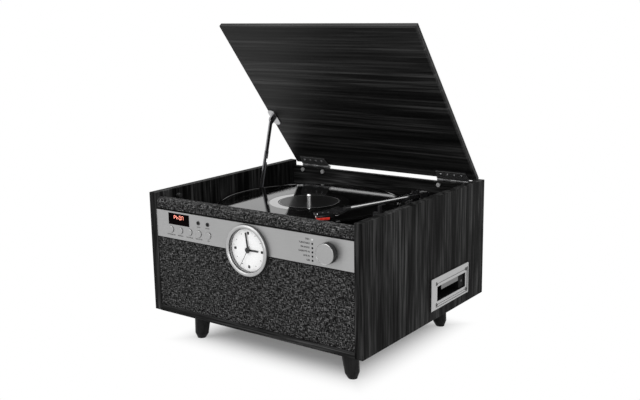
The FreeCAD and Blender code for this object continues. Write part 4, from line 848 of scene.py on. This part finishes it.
label_black = speckled("label_black", 0.4, 500.0, 4.0, ((0.3, 0.0045), (0.7, 0.009)), specular=0.03,
                       sockets={"Coat Weight": 0.4, "Coat Roughness": 0.13})
leave(record_label, "platter", label_black, 4)
ring_profile = flat_ring(label_radius - 1.1 * mm, label_radius - 0.5 * mm, 0.15 * mm, 0.19 * mm)
label_ring = turned("label_ring", 128, ring_profile, label_place, hole=True)
label_silver = satin_metal("label_silver", 0.30, 0.4, 400.0, 0.3)
leave(label_ring, "platter", label_silver, 4)

# Tonearm. A black moulded base and swivel carry a straight aluminium tube; the headshell at its end holds
# the cartridge with its red stylus at an angle, two small screws, a bright steel strip that paints the nose's
# highlight and a bent finger lift.
gloss_black = moulded("gloss_black", (0.009, 0.009, 0.0095), 0.24, 700.0, 0.00003, 0.45)
arm_aluminium = satin_metal("arm_aluminium", 0.60, 0.22, (700.0, 120.0, 700.0), 1.0)
dress(black_plastic, "tonearm_base", "arm_rest", "rest_clip", "speed_selector")
dress(gloss_black, "arm_yoke", "headshell", "cue_lever")
yoke_low, yoke_high = corners("arm_yoke")
tube_low, tube_high = corners("tonearm_tube")
arm_pivot = Vector(((yoke_low.x + yoke_high.x) / 2, (yoke_low.y + yoke_high.y) / 2,
                    (tube_low.z + tube_high.z) / 2))
arm_angle = math.radians(16.6)
shell_offset = math.radians(22.0)
arm_reach_share = 1.4058
needle_at = record_radius * arm_reach_share
needle_to_nose = 3.4 * mm
shell_end = needle_at + needle_to_nose
tube_to_nose = 67.0 * mm
tube_radius = 3.2 * mm
tube_tip = 2.9 * mm
tube_start = 27.0 * mm
tube_end = shell_end - tube_to_nose
arm_block_end = 28.0 * mm
arm_block_taper = 4.0 * mm


def block(name, low, high, softness, steps=2):
    """Box between two corners with softened edges, left open in edit mode."""
    piece = box(name, Vector(low), Vector(high))
    bpy.ops.mesh.select_all(action="SELECT")
    bpy.ops.mesh.bevel(offset=softness, segments=steps, affect="EDGES")
    bpy.ops.mesh.select_all(action="SELECT")
    return piece


def along_arm(piece):
    """Turn a piece drawn along -Y from the arm's pivot to where the arm points over the record."""
    return stand(piece, arm_pivot, (0, 0, -arm_angle))


def on_shell(piece):
    """Turn a piece drawn along -Y about the stylus point to the shell's angle, and then along the arm."""
    stylus_place = Vector((0, -needle_at, 0))
    swung_place = Matrix.Rotation(-shell_offset, 3, "Z") @ stylus_place
    stand(piece, stylus_place - swung_place, (0, 0, -shell_offset))
    return along_arm(piece)


def shell_piece(name, reach, low, high, softness, test=None, shift=(0, 0, 0)):
    """Block on the shell, in millimetres from a point of the arm; points that pass a test are shifted."""
    start = Vector((0, -reach, 0))
    piece = block(name, start + Vector(low) * mm, start + Vector(high) * mm, softness * mm)
    if test:
        pick(piece, "VERT", test)
        bpy.ops.transform.translate(value=Vector(shift) * mm)
    return on_shell(piece)


tube_profile = ((tube_radius, tube_start), (tube_radius, tube_end - 0.8 * mm), (tube_tip, tube_end))
arm_tube = along_arm(turned("arm_tube", 40, tube_profile, tilt=to_front))
leave(arm_tube, "tonearm", arm_aluminium)
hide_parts("tonearm_tube")
arm_block = block("arm_block", (-7.9 * mm, -arm_block_end, -4.0 * mm), (7.9 * mm, 15.0 * mm, 4.0 * mm),
                  1.2 * mm, 3)
pick(arm_block, "VERT", lambda at, way: at.y < arm_block_taper - arm_block_end)
bpy.ops.transform.resize(value=(0.7, 1, 0.95), center_override=(0, -arm_block_end, 0))
along_arm(arm_block)
leave(arm_block, "tonearm", gloss_black)
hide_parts("tonearm_tube")
cartridge_body = shell_piece("cartridge_body", needle_at, (-6.2, 0, -6.4), (6.2, 26.0, -1.6), 0.5)
leave(cartridge_body, "tonearm", gloss_black)
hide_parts("cartridge")
stylus_carrier = shell_piece("stylus_carrier", needle_at, (-6.45, -1.7, -8.8), (6.45, 18.5, -4.7), 0.4,
                             lambda at, way: at.y < -needle_at and at.z < -6.8 * mm, (0, 1.4, 0.4))
stylus_red = speckled("stylus_red", 0.28, 220.0, 2.0,
                      ((0.3, (0.62, 0.02, 0.015)), (0.7, (0.80, 0.05, 0.03))))
leave(stylus_carrier, "tonearm", stylus_red)
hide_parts("cartridge")
needle_profile = scaled(((0.9, -8.6), (0.6, -9.2), (0.2, -9.85)), mm, mm)
needle = along_arm(turned("needle", 20, needle_profile, (0, -needle_at, 0)))
leave(needle, "tonearm", bright_steel)
finger_lift = shell_piece("finger_lift", shell_end, (6.8, 27.0, 0.3), (18.0, 33.0, 1.6), 0.4,
                          lambda at, way: at.x > 14.0 * mm, (0, 0, -1.0))
leave(finger_lift, "tonearm", bright_steel)
# Painted highlight: a bright steel strip across the shell's nose, where the nose corner catches the light.
nose_glint_strip = shell_piece("nose_glint_strip", shell_end, (1.5, -0.3, -3.4), (7.1, 0.7, 1.9), 0.3,
                        lambda at, way: at.z > 0, (0, 2.6, 0))
leave(nose_glint_strip, "tonearm", bright_steel)


def screw_head(name, radius, height):
    """Domed screw head with a cross recess, facing up at the origin."""
    head = turned(name, 32, scaled(((1, 0), (1, 0.35), (0.9, 0.75), (0.6, 0.97), (0.1, 1)), radius, height))
    for turn in (0, 90):
        fresh()
        bpy.ops.mesh.primitive_cube_add(size=1.0, location=(0, 0, height),
                                        rotation=(0, 0, math.radians(turn)))
        bpy.context.active_object.scale = (radius * 1.15, radius * 0.28, height * 1.1)
        cut(head, begin("recess"))
    return head


def repeated(name, piece, shifts):
    """A finished piece joined with copies of it."""
    return joined(name, [piece] + [placed(piece.name, piece, shift) for shift in shifts])


shell_screw_pitch = 9.0 * mm
shell_screw = stand(screw_head("shell_screw", 1.5 * mm, 0.7 * mm),
                    (0, -needle_at + shell_screw_pitch, 1.45 * mm))
shell_screws = on_shell(repeated("shell_screws", shell_screw, [(0, shell_screw_pitch, 0)]))
leave(shell_screws, "tonearm", dark_steel)

# Lid. One board in the same black laminate, grain across, bevelled under its edges;
# it swings on two steel hinges that are screwed under its rear edge.
lid_wood = wood_print("lid_wood", 0, 0.18, 0.75, 0.45)
dress(lid_wood, "lid_board")
leaf_steel = satin_metal("leaf_steel", (0.15, 0.15, 0.152), 0.34, 500.0, 0.7)
dress(leaf_steel, "hinge_cabinet_leaves", "hinge_lid_leaves")
zinc = satin_metal("zinc", 0.40, 0.42, 500.0, 0.55)
dress(zinc, "hinge_hardware")
leaves_high = corners("hinge_cabinet_leaves")[1]
knuckle_radius = 3.0 * mm
hinge_line = Vector((0, leaves_high.y - knuckle_radius, leaves_high.z - knuckle_radius))
lid_open = math.radians(51.5)
hinge_half = 31.0 * mm
hinge_middle = leaves_high.x - hinge_half
leaf_screw_pitch = 13.0 * mm
leaf_screw_row = [side * hinge_middle + step * leaf_screw_pitch
                  for side in (-1, 1) for step in (-1.5, -0.5, 0.5, 1.5)]
first_leaf_screw = Vector((leaf_screw_row[0], -15.5 * mm, -1.5 * mm))
leaf_screw_place = hinge_line + Matrix.Rotation(-lid_open, 3, "X") @ first_leaf_screw
leaf_screw = stand(screw_head("leaf_screw", 2.1 * mm, 0.7 * mm), leaf_screw_place,
                   (math.pi - lid_open, 0, 0))
leaf_screws = repeated("leaf_screws", leaf_screw,
                       [(place - leaf_screw_row[0], 0, 0) for place in leaf_screw_row[1:]])
leave(leaf_screws, "lid", plain_steel)

# Lid stay. A steel rod hangs from a bracket under the lid and slides in a swivelling channel
# on the left wall, where a notch holds the lid open.
stay_steel = satin_metal("stay_steel", (0.16, 0.16, 0.165), 0.3, (500.0, 300.0, 300.0), 0.9)
dress(plain_steel, "stay_bracket")
dress(stay_steel, "stay_arm")
dress(leaf_steel, "stay_guide")

# Lid bumpers. Two soft rubber pegs, one in each side wall near the front,
# that the closed lid comes to rest on.
dress(black_rubber, "lid_bumpers")

# Cassette slot. A silver moulded frame on the right side, held by four cross-slot screws, with black lines of
# painted shadow along the recess above and below the slot; behind it a steel carrier in a black mechanism
# and, at the rear, an eject key.
# The frame's faces that do not face right carry painted shade.
slot_silver = satin_metal("slot_silver", 0.42, 0.34, (700.0, 300.0, 700.0), contrast=0.05, unshaded_facing=(1, 0, 0),
                          side=0.4)
carrier_steel = satin_metal("carrier_steel", 0.16, 0.3, (500.0, 90.0, 500.0), 1.0)
dress(slot_silver, "cassette_bezel")
dress(carrier_steel, "cassette_carrier")
slot_black = moulded("slot_black", (0.004, 0.004, 0.0042), 0.5, 900.0, 0.00005, 0.06)
dress(slot_black, "cassette_mechanism", "eject_button")
bezel_face = corners("cassette_bezel")[1].x
screw_low, screw_high = corners("cassette_screws")
screw_radius = 2.7 * mm
screw_rise = 1.2 * mm


def at_corners(name, piece, span):
    """A finished piece joined with copies of it at the other corners of an upright rectangle."""
    return repeated(name, piece, [(0, 0, span.z), (span.x, span.y, 0), span])


bezel_screw = stand(screw_head("bezel_screw", screw_radius, screw_rise),
                    (screw_high.x - screw_rise, screw_low.y + screw_radius, screw_low.z + screw_radius),
                    (0, math.radians(90), 0))
screw_span = screw_high - screw_low
bezel_screws = at_corners("bezel_screws", bezel_screw, Vector((
    0, screw_span.y - 2 * screw_radius, screw_span.z - 2 * screw_radius)))
slot_middle = (screw_low + screw_high) / 2
# Thin black lines at the recess's upper and lower edges are painted shadow.
shadow_line_half_width = 50.0 * mm
shadow_line_half_height = 17.0 * mm
shadow_line_half_thick = 0.45 * mm
shadow_line_depth = 1.0 * mm
lower_shadow_line = Vector((bezel_face - shadow_line_depth, slot_middle.y, slot_middle.z - shadow_line_half_height))
painted_shadow_line = block("painted_shadow_line", lower_shadow_line - Vector((0.2 * mm, shadow_line_half_width, shadow_line_half_thick)),
                    lower_shadow_line + Vector((0.1 * mm, shadow_line_half_width, shadow_line_half_thick)), 0.04 * mm, 1)
bezel_shadow_lines = repeated("bezel_shadow_lines", painted_shadow_line, [(0, 0, 2 * shadow_line_half_height)])
leave(bezel_shadow_lines, "cabinet", black_plastic)
screw_steel = satin_metal("screw_steel", 0.09, 0.36, 400.0, 0.9)
leave(bezel_screws, "cabinet", screw_steel)
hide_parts("cassette_screws")
pale_ink = speckled("pale_ink", 0.5, 2000.0, 2.0, ((0.3, 0.10), (0.7, 0.14)))
eject_low, eject_high = corners("eject_button")
eject_middle = (eject_low + eject_high) / 2
mark_deep = 0.05 * mm
bar_half = 1.7 * mm
fresh()
bpy.ops.mesh.primitive_circle_add(vertices=3, radius=1.9 * mm, fill_type="NGON",
                                  rotation=(math.radians(90), 0, math.radians(90)),
                                  location=(eject_high.x, eject_middle.y, eject_middle.z + 0.6 * mm))
eject_arrow = thickened("eject_arrow", (mark_deep, 0, 0))
eject_bar = block("eject_bar", (eject_high.x, eject_middle.y - bar_half, eject_middle.z - 1.8 * mm),
                  (eject_high.x + mark_deep, eject_middle.y + bar_half, eject_middle.z - 1.1 * mm),
                  0.015 * mm, 1)
eject_mark = joined("eject_mark", [eject_arrow, eject_bar])
leave(eject_mark, "eject_button", pale_ink)

# Rear jack plate. A black moulded plate screwed to the back, with the power inlet and two line sockets
# in coloured collars, and small printed words by them.
dress(black_plastic, "rear_jack_plate")
plate_low, plate_high = corners("rear_jack_plate")
plate_face = 188.0 * mm
plate_middle = (plate_low.x + plate_high.x) / 2
socket_height = (plate_low.z + plate_high.z) / 2
rear_screw_inset = 4.0 * mm
left_socket = -24.0 * mm
right_socket = -6.0 * mm
power_inlet = 26.0 * mm
word_above = 11.0 * mm
word_below = 9.5 * mm
rear_word_size = 3.0 * mm
to_back = (math.radians(-90), 0, 0)
collar_profile = scaled(((4.3, 0), (6.6, 0), (6.6, 0.9), (6.2, 1.3), (4.3, 1.3), (4.3, 0)), mm, mm)
collar_white = moulded("collar_white", (0.62, 0.61, 0.58), 0.4, 900.0, 0.00003)
collar_red = moulded("collar_red", (0.45, 0.02, 0.02), 0.4, 900.0, 0.00003)
for name, offset, finish in (("left_collar", left_socket, collar_white),
                             ("right_collar", right_socket, collar_red)):
    collar = turned(name, 40, collar_profile, (plate_middle + offset, plate_face, socket_height), to_back,
                    hole=True)
    leave(collar, "cabinet", finish)
rear_screw = stand(screw_head("rear_screw", 2.2 * mm, 0.9 * mm),
                   (plate_low.x + rear_screw_inset, plate_face, plate_low.z + rear_screw_inset), to_back)
plate_span = plate_high - plate_low
rear_screws = at_corners("rear_screws", rear_screw, Vector((
    plate_span.x - 2 * rear_screw_inset, 0, plate_span.z - 2 * rear_screw_inset)))
leave(rear_screws, "cabinet", bright_steel)
rear_words = []
for words, offset, rise in (("LINE OUT", (left_socket + right_socket) / 2, word_above),
                            ("L", left_socket, -word_below), ("R", right_socket, -word_below),
                            ("DC IN", power_inlet, word_above)):
    rear_word = word(words, rear_word_size, (0, 0, 0))
    rear_place = (plate_middle + offset, plate_face + ink_proud, socket_height + rise)
    rear_words.append(stand(rear_word, rear_place, (0, 0, math.pi)))
rear_print = joined("rear_print", rear_words)
leave(rear_print, "cabinet", pale_ink)
